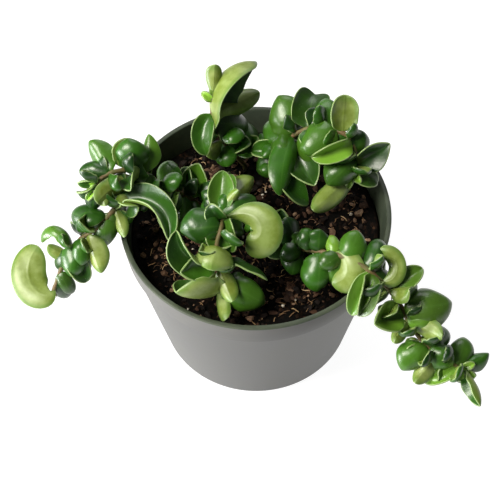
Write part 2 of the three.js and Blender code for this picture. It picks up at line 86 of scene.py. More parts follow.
# Each vine is a route of points through which its stem runs, the first one in the mix, and rows of
# leaves: mm along the stem, clock, toward and roll in degrees, length and width in mm, form, and
# what is particular to that leaf. bare gives the stretches, in mm, where the stem shows.
LEFT = {
    "route": [
        (-32, 15, 85), (-32, 15, 93), (-46, 11, 114), (-59, 9, 126), (-68, 0, 127),
        (-77, -10, 124), (-86, -18, 119), (-96, -21, 112), (-104, -27, 104), (-112, -40, 90),
    ],
    "bare": [(77, 86), (111, 152)],
    "leaves": [
        (18, 75, -10, 0, 22, 20, "scoop", {}),
        (20, 98, 10, 20, 18, 15, "boat", {"curl": 30}),
        (24, 262, 30, -15, 24, 18, "roof", {}),
        (33, 258, 45, 0, 27, 17, "boat", {"curl": 30, "young": 0.35}),
        (38, 82, 15, 0, 20, 20, "bean", {}),
        (50, 285, -20, 0, 28, 20, "dome", {}),
        (60, 160, 42, 178, 30, 13, "kidney", {"bend": -62, "young": 0.8}),
        (68, 320, -10, 0, 20, 16, "bean", {}),
        (77, 288, 0, 180, 17, 10, "cup", {"round": 0}),
        (80, 250, 10, 0, 20, 16, "dome", {}),
        (78, 30, 15, 60, 48, 21, "keel", {"curl": 90, "bend": -92, "fold": 66, "ease": 1.2}),
        (84, 148, 25, -55, 30, 18, "bean", {"curl": 170, "fold": -66}),
        (84, 262, 20, 0, 20, 18, "bean", {}),
        (88, 160, 30, 0, 24, 17, "bean", {"curl": 120, "fold": -62}),
        (97, 280, 10, 155, 23, 17, "cup", {"curl": -30}),
        (103, 268, 45, 0, 17, 14, "bean", {}),
        (109, 262, 40, 0, 20, 19, "bean", {}),
        (114, 75, 15, -75, 33, 15, "bean", {"curl": 200}),
        (112, 300, -10, 0, 24, 15, "dome", {}),
        (115, 305, -5, 20, 19, 15, "cup", {}),
        (113, 238, 14, 0, 17, 14, "bean", {}),
        (117, 150, 0, 170, 12, 9, "cup", {}),
        (126, 292, 15, 0, 18, 13, "bean", {}),
        (137, 265, 20, 180, 41, 20, "kidney", {"fold": 20, "bend": 212, "late": 0.95, "ease": 0.4}),
        (131, 292, -12, 0, 21, 13, "bean", {}),
    ],
}
UPPER_LEFT = {
    "route": [
        (-54, 10, 122), (-58, 8, 131), (-67, 7, 138), (-76, 4, 140), (-82, 1, 139),
        (-86, -4, 136),
    ],
    "leaves": [
        (13, 86, 5, 20, 22, 17, "roof", {"curl": 15, "round": 0.1}),
        (14, 130, -20, 0, 20, 18, "dome", {}),
        (16, 280, 0, 0, 22, 20, "dome", {}),
        (23, 92, -20, 180, 18, 19, "dome", {"curl": 60}),
        (22, 92, 60, 0, 20, 28, "bean", {}),
        (32, 128, 0, 10, 22, 18, "roof", {"curl": 20, "crease": 0.3}),
        (33, 176, 10, 0, 18, 15, "bean", {"curl": 40}),
        (39, 198, 10, 60, 13, 8, "cup", {}),
        (42, 235, 10, 60, 14, 10, "cup", {"curl": 90}),
        (42, 290, 10, 180, 14, 9, "cup", {"young": 0.5}),
        (44, 258, 10, 0, 17, 14, "bean", {}),
    ],
}
CENTRE = {
    "route": [
        (-21, 21, 85), (-21, 21, 93), (-19, -3, 116), (-18, -24, 136), (-18, -34, 140),
        (-20, -40, 136), (-20, -45, 126), (-17, -49, 108),
    ],
    "leaves": [
        (50, 74, -10, 0, 22, 14, "cup", {}),
        (50, 46, -5, 180, 32, 19, "pod", {"fold": 60, "curl": -60}),
        (62, 150, -20, 0, 24, 18, "dome", {}),
        (68, 89, 0, 10, 25, 18, "cup", {"fold": 58, "round": 0.05}),
        (68, 58, 10, 170, 19, 9, "boat", {}),
        (68, 28, 30, 0, 25, 20, "bean", {}),
        (73, 18, 14, 180, 40, 24, "kidney", {"fold": 40, "bend": 240, "late": 2.6, "ease": 2}),
        (74, 280, 35, -10, 19, 23, "cup", {"fold": 70, "curl": 70}),
        (80, 186, 40, 0, 25, 28, "bean", {}),
        (79, 215, 45, 0, 16, 15, "bean", {}),
        (92, 256, 75, 180, 17, 23, "kidney", {"fold": 50, "curl": -90}),
        (103, 178, 12, 55, 33, 25, "keel", {"curl": 50, "bend": -70, "fold": 72, "ease": 1.2}),
        (100, 352, 5, 70, 29, 11, "cup", {"fold": 15, "curl": 35}),
        (106, 292, 10, 180, 20, 13, "cup", {}),
        (102, 194, 5, 0, 23, 18, "scoop", {}),
        (115, 330, 42, 0, 30, 26, "bean", {}),
        (119, 220, 28, -62, 33, 32, "keel", {"curl": -65, "fold": 66, "round": 1, "crease": 0.3}),
        (119, 256, 10, 150, 21, 9, "kidney", {"bend": -40, "young": 0.6}),
    ],
}
TOP = {
    "route": [
        (-6, 43, 85), (-6, 43, 93), (-12, 42, 106), (-18, 41, 120), (-23, 44, 134),
        (-23, 51, 145),
    ],
    "bare": [(50, 62)],
    "leaves": [
        (22, 35, -10, 0, 18, 18, "scoop", {}),
        (38, 224, 10, 175, 14, 12, "cup", {"late": 1.5, "young": 0.5}),
        (38, 20, -10, 0, 34, 26, "dome", {}),
        (40, 118, 18, -50, 60, 34, "keel",
         {"curl": -90, "bend": -90, "fold": 58, "round": 1, "ease": 1.4}),
        (51, 0, -15, 0, 34, 26, "dome", {}),
        (57, 224, 8, 0, 25, 16, "cup", {"bend": 70}),
        (56, 30, -35, 175, 34, 17, "cup", {"round": 0.9}),
        (66, 85, 10, 180, 19, 10, "cup", {"late": 1.6, "fold": 40, "young": 0.9}),
    ],
}
BACK = {
    "route": [
        (15, 38, 85), (15, 38, 93), (16, 38, 112), (21, 35, 130), (32, 33, 140), (44, 27, 145),
        (52, 23, 143), (55, 18, 136), (53, 12, 124),
    ],
    "leaves": [
        (22, 206, 10, 0, 20, 20, "dome", {}),
        (31, 184, 0, 0, 19, 16, "cup", {"fold": 75}),
        (36, 122, 0, 0, 28, 20, "bean", {}),
        (44, 140, -10, 0, 27, 22, "dome", {}),
        (44, 295, 0, 0, 34, 24, "scoop", {}),
        (46, 108, 45, 0, 28, 31, "bean", {}),
        (46, 235, 60, 0, 20, 18, "bean", {}),
        (47, 240, 40, 0, 38, 17, "roof", {"fold": -40, "curl": 45, "crease": 0.3, "bend": 30}),
        (38, 242, 36, 10, 45, 20, "cup",
         {"fold": 50, "curl": 20, "bend": 115, "ease": 1.2, "late": 1.3}),
        (57, 80, 5, 12, 24, 24, "cup", {"curl": 60, "fold": 52, "round": 1}),
        (61, 60, -30, 0, 28, 24, "dome", {}),
        (65, 265, 5, 0, 32, 28, "bean", {}),
        (69, 86, 20, 0, 22, 19, "bean", {}),
        (77, 205, 45, 0, 26, 28, "bean", {}),
        (79, 262, -10, 0, 32, 26, "dome", {}),
        (80, 90, 5, 160, 21, 18, "dome", {"curl": 20, "fold": -48}),
        (84, 350, 15, 0, 16, 17, "bean", {}),
        (88, 205, 25, 20, 25, 18, "boat", {"young": 0.6}),
        (98, 222, 50, 0, 24, 24, "bean", {}),
        (102, 35, 10, -30, 24, 21, "boat", {"fold": 50, "curl": -20, "round": 0}),
        (106, 340, -10, 0, 17, 13, "cup", {}),
        (108, 222, 5, 180, 30, 16, "cup", {}),
    ],
}
RIGHT = {
    "route": [
        (9, -8, 85), (9, -8, 93), (19, -22, 106), (30, -33, 118), (45, -41, 124),
        (58, -48, 123), (69, -54, 114), (77, -59, 103), (85, -69, 92), (97, -78, 83),
        (112, -84, 76),
    ],
    "bare": [(52, 82)],
    "leaves": [
        (12, 75, 0, 0, 19, 18, "scoop", {}),
        (30, 60, 60, 0, 11, 15, "bean", {}),
        (36, 85, 60, 0, 10, 18, "bean", {}),
        (36, 262, 55, 0, 18, 19, "bean", {}),
        (46, 100, 60, 0, 12, 17, "bean", {}),
        (56, 264, 38, 0, 25, 25, "bean", {}),
        (54, 85, 60, 0, 14, 22, "bean", {}),
        (64, 98, 10, 0, 14, 11, "bean", {"young": 0.6}),
        (67, 212, 45, 0, 14, 15, "bean", {}),
        (64, 15, 30, 180, 27, 21, "kidney", {"fold": 48, "bend": 195, "late": 1.4, "round": 0.3}),
        (68, 255, 0, 0, 22, 18, "dome", {}),
        (72, 68, 30, 0, 19, 22, "bean", {}),
        (85, 70, 12, 0, 24, 17, "bean", {}),
        (85, 248, 0, 0, 26, 15, "cup", {"young": 0.3}),
        (87, 320, 0, 0, 20, 20, "bean", {}),
        (86, 260, 15, 20, 25, 17, "boat", {}),
        (94, 345, 10, 178, 28, 10, "kidney", {"fold": 30, "bend": -190}),
        (103, 15, 15, 0, 20, 14, "bean", {}),
        (103, 40, 10, 20, 21, 15, "cup", {"young": 0.25}),
        (116, 8, 40, 0, 31, 32, "bean", {}),
        (118, 195, 20, 0, 26, 22, "scoop", {"young": 0.4}),
        (122, 238, 0, 180, 15, 10, "cup", {}),
        (120, 352, 42, 0, 23, 20, "bean", {"young": 0.3}),
        (124, 338, 25, 165, 21, 15, "cup", {}),
        (135, 356, 12, 0, 24, 20, "bean", {}),
        (139, 228, 40, 0, 22, 24, "bean", {}),
        (148, 230, 0, 175, 20, 13, "cup", {}),
        (142, 325, 45, 0, 18, 21, "bean", {}),
        (161, 207, 0, 0, 20, 11, "cup", {"young": 0.5}),
        (160, 70, 20, 0, 20, 20, "bean", {}),
        (163, 285, 0, 0, 14, 12, "bean", {}),
        (164, 32, 10, 10, 19, 15, "roof", {"round": 0}),
        (164, 315, 10, -50, 24, 15, "keel", {"curl": -60}),
    ],
}

VINES = {
    "left_vine": [LEFT, UPPER_LEFT],
    "centre_vine": [CENTRE],
    "top_vine": [TOP],
    "back_vine": [BACK],
    "right_vine": [RIGHT],
}

# A leaf's outline: its petiole as a share of its length, the least half widths in mm, and the
# powers that shape a pointed and a round blade
PETIOLE_END = 0.06
PETIOLE_HALF_WIDTH = 1.0
TIP_HALF_WIDTH = 0.25
POINTED_OUTLINE = (2.0, 0.78)
ROUND_OUTLINE = (2.8, 0.45)
WIDEST = 0.85

# The powers by which curl, bend and fold grow, the share of a half blade that a crease takes, the
# share of the length over which the fold opens, and how far it is open at the root
CURL_EASE = 1.1
BEND_EASE = 0.75
FOLD_EASE = 0.9
CREASE_WIDTH = 0.22
OPENING_START = 0.02
OPENING_SPAN = 0.2
LEAST_OPENING = 0.25
MIDRIB_STEPS = 60
SECTION_STEPS = 24

# How much more one margin folds than the other, and how far the tip may twist
LOPSIDED = 0.2
TWIST = math.radians(16)

# How many waves run along a margin, how far the two sides are out of step, and the lumps over the
# blade: their height as a share of the waves', and how many lie along the leaf and across each half.
# The groove over the midrib is in mm deep and in shares of the half width wide. Shorter leaves than
# FULL_WAVES and half widths under FULL_LUMPS, in mm, have less of them.
WAVES = (1.2, 2.2)
SWAY = 0.5
LUMP_SHARE = 2.8
LUMPS_ALONG = 2.4
LUMPS_ACROSS = 1.4
GROOVE_DEPTH = 0.35
GROOVE_WIDTH = 0.13
FULL_WAVES = 30
FULL_LUMPS = 8

# The half width in mm from which a blade has its full thickness, how fast it thins to its tip, and
# how the pale margin narrows round the tip
FULL_THICKNESS = 3
TIP_THINNING = 8
TIP_MARGIN = 0.6

# Faces along and across the sheet of a leaf, which are more over a length in mm, and how closely
# they crowd at its ends
LONG_LEAF = 28
LONG_GRID = (18, 12)
SHORT_GRID = (14, 10)
END_CROWDING = 0.55

# How young laid leaves are, as a mean and its scatter, and those at the growing ends
YOUTH = (0.04, 0.08)
BUD_YOUTH = 0.9
LEAF_SEED = 23

# The small leaves at a growing end: mm back from it, clock from the stem's own, then as in the rows
BUDS = [
    (1, 0, 5, 10, 9, 6, "boat"),
    (2, 50, 20, 0, 8, 6, "cup"),
    (3, -55, 0, 20, 8, 6, "cup"),
]

# The leaves that fill a stem's hidden sides: where they start and stop short of its end, in mm,
# the scatter of their turn and their lean in radians, length in mm and its loss by the stem's end,
# and kinds with their ranges of curl and fold. Those that face the viewer lie flatter.
FILL_START = 16.0
FILL_STOP = 2
FILL_SCATTER = 0.35
FILL_LEAN = (0.5, 0.95)
FILL_LENGTH = (14, 20)
FILL_TAPER = 0.25
FILL_FORMS = [
    ("bean", (105, 150), (-85, -55)),
    ("bean", (70, 120), (-80, -50)),
    ("roof", (80, 130), (-70, -45)),
    ("roof", (60, 110), (-60, -35)),
    ("cup", (40, 110), (45, 70)),
]
FACING_SINE = 0.45
FACING_FORM = ("roof", (50, 85), (-55, -35))

# How far those leaves keep, in metres, over the mix, over and outside the lip, and inside the wall
MIX_CLEARANCE = 0.003
LIP_CLEARANCE = 0.0015
WALL_CLEARANCE = 0.002

# Stems: points for each stretch of a route, mm between rings, how they swell at a joint, and the
# aerial roots that every third joint has
ROUTE_STEPS = 24
STEM_STEP = 1.6
STEM_SIDES = 12
JOINT_SPREAD = 1.6
JOINT_SWELL = 0.22
STEM_SEED = 5
ROOT_START = 2
ROOT_SIDEWAYS = (0.4, 1)
ROOT_BACKWARD = (0.6, 1)
ROOT_LENGTH = (3.5, 6)
ROOT_SHARE = 0.32
ROOT_TAPER = (1.3, 1, 0.8, 0.4)
ROOT_SAG = 0.3
ROOT_SIDES = 6

# Pot and mix, in metres but for counts and the lumps' spans, which are in mm
EDGE_SOFTNESS = 0.0007
POT_SIDES = 160
DRAIN_SIDES = 32
SHARP_ANGLE = math.radians(40)
MIX_GAP = 0.0003
MIX_EDGE_DROP = 0.001
MIX_RINGS = 46
MIX_SIDES = 220
MIX_SLOPE = 0.012
LUMP_SPANS = (5.3, 6.1, 3.7)
SMALL_LUMP_SHARE = 0.6
CRUMB_SHARE = 0.34
GRIT_SHARE = 0.14
GRIT_SPAN = 1.7

# What lies on the mix. Lengths, steps, margins and radii are in mm, lifts and arches in metres,
# leans and turns in radians. Widths and heights are shares of the length, and a chip's length is
# given as shortest, longest and commonest.
CHIP_SEED = 41
CHIP_MARGIN = 5
CHIP_LENGTH = (0.9, 7.5, 1.4)
CHIP_WIDTH = (0.5, 0.95)
CHIP_HEIGHT = (0.25, 0.6)
CHIP_SHOWS = 0.25
CHIP_LIFT = 0.0008
CHIP_LEAN = 0.35
CHIP_ROUGHNESS = 0.3
GRAIN_LENGTH = (1.2, 2.6)
GRAIN_WIDTH = (0.7, 1)
GRAIN_HEIGHT = (0.6, 0.9)
GRAIN_LIFT = 0.0012
GRAIN_LEAN = 0.5
GRAIN_ROUGHNESS = 0.2
FIBRE_SEED = 17
FIBRE_MARGIN = 9
FIBRE_STEP = (0.4, 1.4)
FIBRE_TURN = 0.5
FIBRE_WOBBLE = 0.3
FIBRE_RADIUS = (0.13, 0.3)
FIBRE_TAPER = (0.5, 1, 1, 1, 0.9, 0.4)
FIBRE_SIDES = 5
FIBRE_LIFT = 0.0003
FIBRE_ARCH = 0.0006
FIBRE_ARCH_TURN = 0.9

# Soft lights: name, place, target, size in metres, watts and colour
LIGHTS = [
    ("Key softbox", (-0.75, -0.25, 1.15), (0, 0, 0.1), 0.5, 26, "#fffaf0"),
    ("Side softbox", (-1.1, -0.35, 0.12), (0, 0, 0.05), 0.5, 25, "#ffffff"),
    ("Back softbox", (0.1, 1.0, 1.0), (0, 0, 0.12), 0.8, 6, "#ffffff"),
]
FLOOR_HALF_SIZE = 3
AIR_STRENGTH = 0.06

# The camera's place in metres, its turn in degrees and its focal length in pixels of the picture
CAMERA_PLACE = (0, -0.3855, 0.6556)
CAMERA_YAW = -0.78
CAMERA_PITCH = 56.45
CAMERA_ROLL = -1.24
FOCAL_PIXELS = 1200
PICTURE_WIDTH = 493
SENSOR_WIDTH = 36


class PotSizes(bpy.types.PropertyGroup):
    """Sizes of the nursery pot"""

    rim_radius: bpy.props.FloatProperty(
        name="Rim radius", description="Outer radius of the lip",
        default=(POT_HIGH.x - POT_LOW.x) / 2, unit="LENGTH")
    height: bpy.props.FloatProperty(
        name="Height", description="Floor to lip", default=POT_HIGH.z, unit="LENGTH")
    base_radius: bpy.props.FloatProperty(
        name="Base radius", description="Outer radius of the floor", default=0.058, unit="LENGTH")
    wall: bpy.props.FloatProperty(
        name="Wall", description="Thickness of the wall", default=0.002, unit="LENGTH")
    floor: bpy.props.FloatProperty(
        name="Floor", description="Thickness of the floor", default=0.0024, unit="LENGTH")
    lip_width: bpy.props.FloatProperty(
        name="Lip width", description="Width of the flat lip", default=0.003, unit="LENGTH")
    rim_flare: bpy.props.FloatProperty(
        name="Rim flare", description="How far the collar widens up to the lip",
        default=0.0014, unit="LENGTH")
    collar_height: bpy.props.FloatProperty(
        name="Collar height", description="Height of the upright collar below the lip",
        default=0.016, unit="LENGTH")
    collar_step: bpy.props.FloatProperty(
        name="Collar step", description="How far the collar stands proud of the wall",
        default=0.0014, unit="LENGTH")
    drain_radius: bpy.props.FloatProperty(
        name="Drain radius", description="Radius of a drainage hole", default=0.004, unit="LENGTH")
    drain_ring: bpy.props.FloatProperty(
        name="Drain ring", description="Radius of the ring of drainage holes",
        default=0.044, unit="LENGTH")
    drain_count: bpy.props.IntProperty(
        name="Drains", description="Number of drainage holes", default=6, min=0)


class MixSizes(bpy.types.PropertyGroup):
    """Sizes of the potting mix and what lies in it"""

    top: bpy.props.FloatProperty(
        name="Mix level", description="Mean height of the top of the mix",
        default=0.091, unit="LENGTH")
    relief: bpy.props.FloatProperty(
        name="Relief", description="Height of the broad lumps", default=0.0008, unit="LENGTH")
    crumb: bpy.props.FloatProperty(
        name="Crumb", description="Size of the crumbs of peat", default=0.0032, unit="LENGTH")
    chips: bpy.props.IntProperty(
        name="Bark chips", description="Number of bark chips on the mix", default=1000, min=0)
    grains: bpy.props.IntProperty(
        name="Perlite grains", description="Number of white perlite grains", default=26, min=0)
    fibres: bpy.props.IntProperty(
        name="Fibres", description="Number of loose plant fibres", default=520, min=0)


class FoliageSizes(bpy.types.PropertyGroup):
    """Sizes of the stems and leaves"""

    blade_thickness: bpy.props.FloatProperty(
        name="Blade thickness", description="Thickness of a leaf at its midrib",
        default=0.0019, unit="LENGTH")
    margin_share: bpy.props.FloatProperty(
        name="Margin share", description="Thickness of the margin as a share of the midrib's",
        default=0.38, min=0.1, max=1, subtype="FACTOR")
    ripple: bpy.props.FloatProperty(
        name="Ripple", description="Height of the waves along a leaf's margins",
        default=0.0007, unit="LENGTH")
    stem_radius: bpy.props.FloatProperty(
        name="Stem radius", description="Radius of a stem where it leaves the mix",
        default=0.0016, unit="LENGTH")
    tip_radius: bpy.props.FloatProperty(
        name="Tip radius", description="Radius of a stem at its growing end",
        default=0.001, unit="LENGTH")
    fill_step: bpy.props.FloatProperty(
        name="Fill step", description="Spacing along the stem of the leaves on its far side",
        default=0.0085, unit="LENGTH")


def linear(code):
    """An sRGB hex colour as the linear colour that a shader takes."""
    shares = [int(code[i:i + 2], 16) / 255 for i in (1, 3, 5)]
    lit = [c / 12.92 if c <= 0.04045 else ((c + 0.055) / 1.055) ** 2.4 for c in shares]
    return (*lit, 1.0)


class PlantColours(bpy.types.PropertyGroup):
    """Main colours of the plant and its pot"""

    leaf: bpy.props.FloatVectorProperty(
        name="Leaf", description="Upper face of a grown leaf",
        default=linear("#13330a"), size=4, subtype="COLOR")
    underside: bpy.props.FloatVectorProperty(
        name="Underside", description="Under face of a leaf",
        default=linear("#889854"), size=4, subtype="COLOR")
    margin: bpy.props.FloatVectorProperty(
        name="Margin", description="Thin pale edge of a leaf",
        default=linear("#93a86f"), size=4, subtype="COLOR")
    stem: bpy.props.FloatVectorProperty(
        name="Stem", description="Woody skin of a stem",
        default=linear("#6b5236"), size=4, subtype="COLOR")
    # The wall and the lip are lit and shaded copies of one plastic: the wall's paler grey is painted
    # light, the darker olive of the lip and inside is painted shade
    pot_wall_lit: bpy.props.FloatVectorProperty(
        name="Pot wall", description="Outside of the pot",
        default=linear("#666665"), size=4, subtype="COLOR")
    pot_lip_shaded: bpy.props.FloatVectorProperty(
        name="Pot lip", description="Lip and inside of the pot",
        default=linear("#384035"), size=4, subtype="COLOR")


# Shader helpers

def add_node(tree, kind, settings=None, inputs=None):
    """A node with its settings, and with each input set to a value or linked to a socket."""
    node = tree.nodes.new(kind)
    for key, value in (settings or {}).items():
        setattr(node, key, value)
    for key, value in (inputs or {}).items():
        if isinstance(value, bpy.types.NodeSocket):
            tree.links.new(value, node.inputs[key])
        else:
            node.inputs[key].default_value = value
    return node


def blank_material(name):
    """A material with an empty node tree but for its output."""
    material = bpy.data.materials.new(name)
    material.use_nodes = True
    material.node_tree.nodes.clear()
    return material


def finish_material(material, shader):
    """Links the shader to the material's output."""
    tree = material.node_tree
    add_node(tree, "ShaderNodeOutputMaterial", inputs={"Surface": shader.outputs[0]})
    return material


def ramp(node, stops):
    """Sets a colour ramp's stops from pairs of place and hex colour."""
    elements = node.color_ramp.elements
    while len(elements) > 1:
        elements.remove(elements[-1])
    for k, (place, code) in enumerate(stops):
        element = elements[0] if k == 0 else elements.new(place)
        element.position = place
        element.color = linear(code)
    return node


# Mesh helpers

def new_piece(name, bm, materials, smooth=True):
    """Turns a bmesh in metres into an object that rides on the plant's only body."""
    mesh = bpy.data.meshes.new(name)
    bm.to_mesh(mesh)
    bm.free()
    for material in materials:
        mesh.materials.append(material)
    for polygon in mesh.polygons:
        polygon.use_smooth = smooth
    piece = bpy.data.objects.new(name, mesh)
    bpy.context.scene.collection.objects.link(piece)
    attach(piece, "root")
    return piece


def ring_frame(place, along, across, radius):
    """The transform that puts a unit circle at a place, square to along, with the radius."""
    over = along.cross(across)
    turn = Matrix((across, over, along)).transposed().to_4x4()
    return Matrix.Translation(place) @ turn @ Matrix.Scale(radius, 4)


def add_tube(bm, places, radii, sides):
    """Sweeps a circle through the places, in metres, and closes both ends."""
    across = (places[1] - places[0]).orthogonal()
    ring, edges, last = [], [], None
    ends = []
    for i, (place, radius) in enumerate(zip(places, radii)):
        ahead = places[min(i + 1, len(places) - 1)]
        behind = places[max(i - 1, 0)]
        along = (ahead - behind).normalized()
        across = (across - along * across.dot(along)).normalized()
        here = ring_frame(place, along, across, radius)
        if last is None:
            ring = bmesh.ops.create_circle(bm, segments=sides, radius=1, matrix=here)["verts"]
            edges = list({edge for vert in ring for edge in vert.link_edges})
        else:
            made = bmesh.ops.extrude_edge_only(bm, edges=edges)["geom"]
            ring = [item for item in made if isinstance(item, bmesh.types.BMVert)]
            edges = [item for item in made if isinstance(item, bmesh.types.BMEdge)]
            bmesh.ops.transform(bm, matrix=here @ last.inverted(), verts=ring)
        if i in (0, len(places) - 1):
            ends.append(edges)
        last = here
    for end in ends:
        bmesh.ops.edgenet_fill(bm, edges=end)


# Pot

def moulded_polypropylene(name, base, worn, roughness):
    """Injection-moulded polypropylene: satin, a faint orange peel, chalky where it is handled."""
    material = blank_material(name)
    tree = material.node_tree
    place = add_node(tree, "ShaderNodeTexCoord").outputs["Object"]
    cloud = add_node(tree, "ShaderNodeTexNoise", inputs={
        "Vector": place, "Scale": 1 / (22 * MM), "Detail": 5.0, "Roughness": 0.6})
    spread = add_node(tree, "ShaderNodeMapRange", inputs={
        "Value": cloud.outputs["Fac"], "From Min": 0.35, "From Max": 0.75})
    tint = add_node(tree, "ShaderNodeMix", {"data_type": "RGBA"}, {
        0: spread.outputs[0], 6: base, 7: worn})
    matt = add_node(tree, "ShaderNodeMapRange", inputs={
        "Value": cloud.outputs["Fac"], "To Min": roughness - 0.06, "To Max": roughness + 0.08})
    peel = add_node(tree, "ShaderNodeTexNoise", inputs={
        "Vector": place, "Scale": 1 / (0.9 * MM), "Detail": 2.0})
    bump = add_node(tree, "ShaderNodeBump", inputs={
        "Height": peel.outputs["Fac"], "Strength": 0.12, "Distance": 0.05 * MM})
    shader = add_node(tree, "ShaderNodeBsdfPrincipled", inputs={
        "Base Color": tint.outputs[2], "Roughness": matt.outputs[0], "IOR": 1.49,
        "Specular IOR Level": 0.3, "Normal": bump.outputs[0]})
    return finish_material(material, shader)


def pot_profile(sizes):
    """The wall's section from the middle of the underside round to the middle of the floor."""
    collar = sizes.height - sizes.collar_height
    collar_radius = sizes.rim_radius - sizes.rim_flare
    wall_radius = collar_radius - sizes.collar_step
    inner_collar = wall_radius - sizes.wall
    inner_rim = sizes.rim_radius - sizes.lip_width
    soft = EDGE_SOFTNESS
    return [
        (0.0, 0.0),
        (sizes.base_radius - 2 * soft, 0.0),
        (sizes.base_radius - soft * 0.6, soft * 0.4),
        (sizes.base_radius + soft * 0.2, 2 * soft),
        (wall_radius, collar - soft),
        (wall_radius + soft * 0.5, collar - soft * 0.3),
        (collar_radius - soft, collar),
        (collar_radius - soft * 0.2, collar + soft * 0.3),
        (collar_radius, collar + soft),
        (sizes.rim_radius - soft * 0.1, sizes.height - soft),
        (sizes.rim_radius - soft * 0.4, sizes.height - soft * 0.3),
        (sizes.rim_radius - soft, sizes.height),
        (inner_rim + soft, sizes.height),
        (inner_rim + soft * 0.3, sizes.height - soft * 0.3),
        (inner_rim, sizes.height - soft),
        (inner_collar, collar),
        (sizes.base_radius - sizes.wall, sizes.floor + soft),
        (sizes.base_radius - sizes.wall - soft, sizes.floor),
        (0.0, sizes.floor),
    ]


def spin_profile(bm, profile, steps):
    """Spins a profile of radius and height pairs once round Z, with its poles closed."""
    verts = [bm.verts.new((radius, 0, height)) for radius, height in profile]
    edges = [bm.edges.new(pair) for pair in zip(verts, verts[1:])]
    bmesh.ops.spin(
        bm, geom=verts + edges, axis=(0, 0, 1), cent=(0, 0, 0), angle=2 * math.pi, steps=steps,
        use_merge=True)
    bmesh.ops.remove_doubles(bm, verts=bm.verts, dist=1e-6)
    bmesh.ops.recalc_face_normals(bm, faces=bm.faces)


class OBJECT_OT_build_nursery_pot(bpy.types.Operator):
    """Builds the tapered pot with its collar, flat lip and drainage holes"""

    bl_idname = "object.build_nursery_pot"
    bl_label = "Nursery pot"

    def execute(self, context):
        sizes = context.scene.pot_sizes
        colours = context.scene.plant_colours
        bm = bmesh.new()
        spin_profile(bm, pot_profile(sizes), POT_SIDES)
        # The lip and the inside take the darker copy of the plastic, painted shade; the outside takes
        # the paler copy, painted light
        wall, lip = 0, 1
        for face in bm.faces:
            middle = face.calc_center_median()
            inside = face.normal.xy.dot(middle.xy) < 0 and middle.z > sizes.floor / 2
            above = middle.z > sizes.height - EDGE_SOFTNESS
            face.material_index = lip if inside or above else wall
        pot = new_piece("nursery_pot", bm, [
            moulded_polypropylene("Pot wall polypropylene lit", colours.pot_wall_lit, linear("#6b6b68"), 0.6),
            moulded_polypropylene("Pot lip polypropylene shaded", colours.pot_lip_shaded, linear("#4d5544"), 0.42),
        ])
        drains = bmesh.new()
        for k in range(sizes.drain_count):
            turn = 2 * math.pi * (k + 0.5) / sizes.drain_count
            place = Vector((math.cos(turn), math.sin(turn), 0)) * sizes.drain_ring
            bmesh.ops.create_cone(
                drains, cap_ends=True, segments=DRAIN_SIDES, radius1=sizes.drain_radius,
                radius2=sizes.drain_radius, depth=6 * sizes.floor, matrix=Matrix.Translation(place))
        cutter = new_piece("drain_cutter", drains, [])
        cut = pot.modifiers.new("Drainage holes", "BOOLEAN")
        cut.object = cutter
        cut.operation = "DIFFERENCE"
        cut.solver = "EXACT"
        with context.temp_override(object=pot, active_object=pot):
            bpy.ops.object.modifier_apply(modifier=cut.name)
        bpy.data.objects.remove(cutter)
        pot.data.shade_smooth()
        pot.data.set_sharp_from_angle(angle=SHARP_ANGLE)
        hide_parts("pot")
        return {"FINISHED"}


# Potting mix

def mix_height(x, y, sizes):
    """The top of the mix in metres at a place in millimetres: broad lumps on a slight slope."""
    wide, deep, slanting = LUMP_SPANS
    lumps = math.sin(x / wide + 1) * math.cos(y / deep)
    lumps += SMALL_LUMP_SHARE * math.sin((x + y) / slanting)
    return sizes.top + MIX_SLOPE * (x - y) * MM + sizes.relief * lumps


def crumb_height(x, y, sizes):
    """How far the crumbs of peat stand above the broad lumps."""
    grain = sizes.crumb / MM
    near = noise.voronoi(Vector((x / grain, y / grain, 0)))[0]
    grit = noise.fractal(Vector((x / GRIT_SPAN, y / GRIT_SPAN, 3.0)), 1.0, 2.0, 3)
    return sizes.crumb * (CRUMB_SHARE * (1 - near[0]) + GRIT_SHARE * grit)


def mix_radius(pot, height):
    """The inside of the pot at a height."""
    collar = pot.height - pot.collar_height
    low = pot.base_radius - pot.wall
    high = pot.rim_radius - pot.rim_flare - pot.collar_step - pot.wall
    return low + (high - low) * (height - pot.floor) / (collar - pot.floor)


def damp_peat():
    """Damp peat and composted bark: nearly black, matt, with rusty specks a millimetre across."""
    material = blank_material("Damp peat")
    tree = material.node_tree
    place = add_node(tree, "ShaderNodeTexCoord").outputs["Object"]
    speck = add_node(tree, "ShaderNodeTexVoronoi", inputs={"Vector": place, "Scale": 1 / (1.6 * MM)})
    cloud = add_node(tree, "ShaderNodeTexNoise", inputs={
        "Vector": place, "Scale": 1 / (6 * MM), "Detail": 6.0, "Roughness": 0.7})
    mixed = add_node(tree, "ShaderNodeMix", {"data_type": "FLOAT"}, {
        0: 0.45, 2: cloud.outputs["Fac"], 3: speck.outputs["Color"]})
    tint = ramp(add_node(tree, "ShaderNodeValToRGB", inputs={"Fac": mixed.outputs[0]}), [
        (0.38, "#010100"), (0.57, "#050302"), (0.7, "#20140c"), (0.82, "#6e5038")])
    grain = add_node(tree, "ShaderNodeTexNoise", inputs={
        "Vector": place, "Scale": 1 / (0.7 * MM), "Detail": 4.0, "Roughness": 0.7})
    bump = add_node(tree, "ShaderNodeBump", inputs={
        "Height": grain.outputs["Fac"], "Strength": 0.7, "Distance": 0.5 * MM})
    shader = add_node(tree, "ShaderNodeBsdfPrincipled", inputs={
        "Base Color": tint.outputs["Color"], "Roughness": 0.78, "Normal": bump.outputs[0],
        "Specular IOR Level": 0.08})
    return finish_material(material, shader)


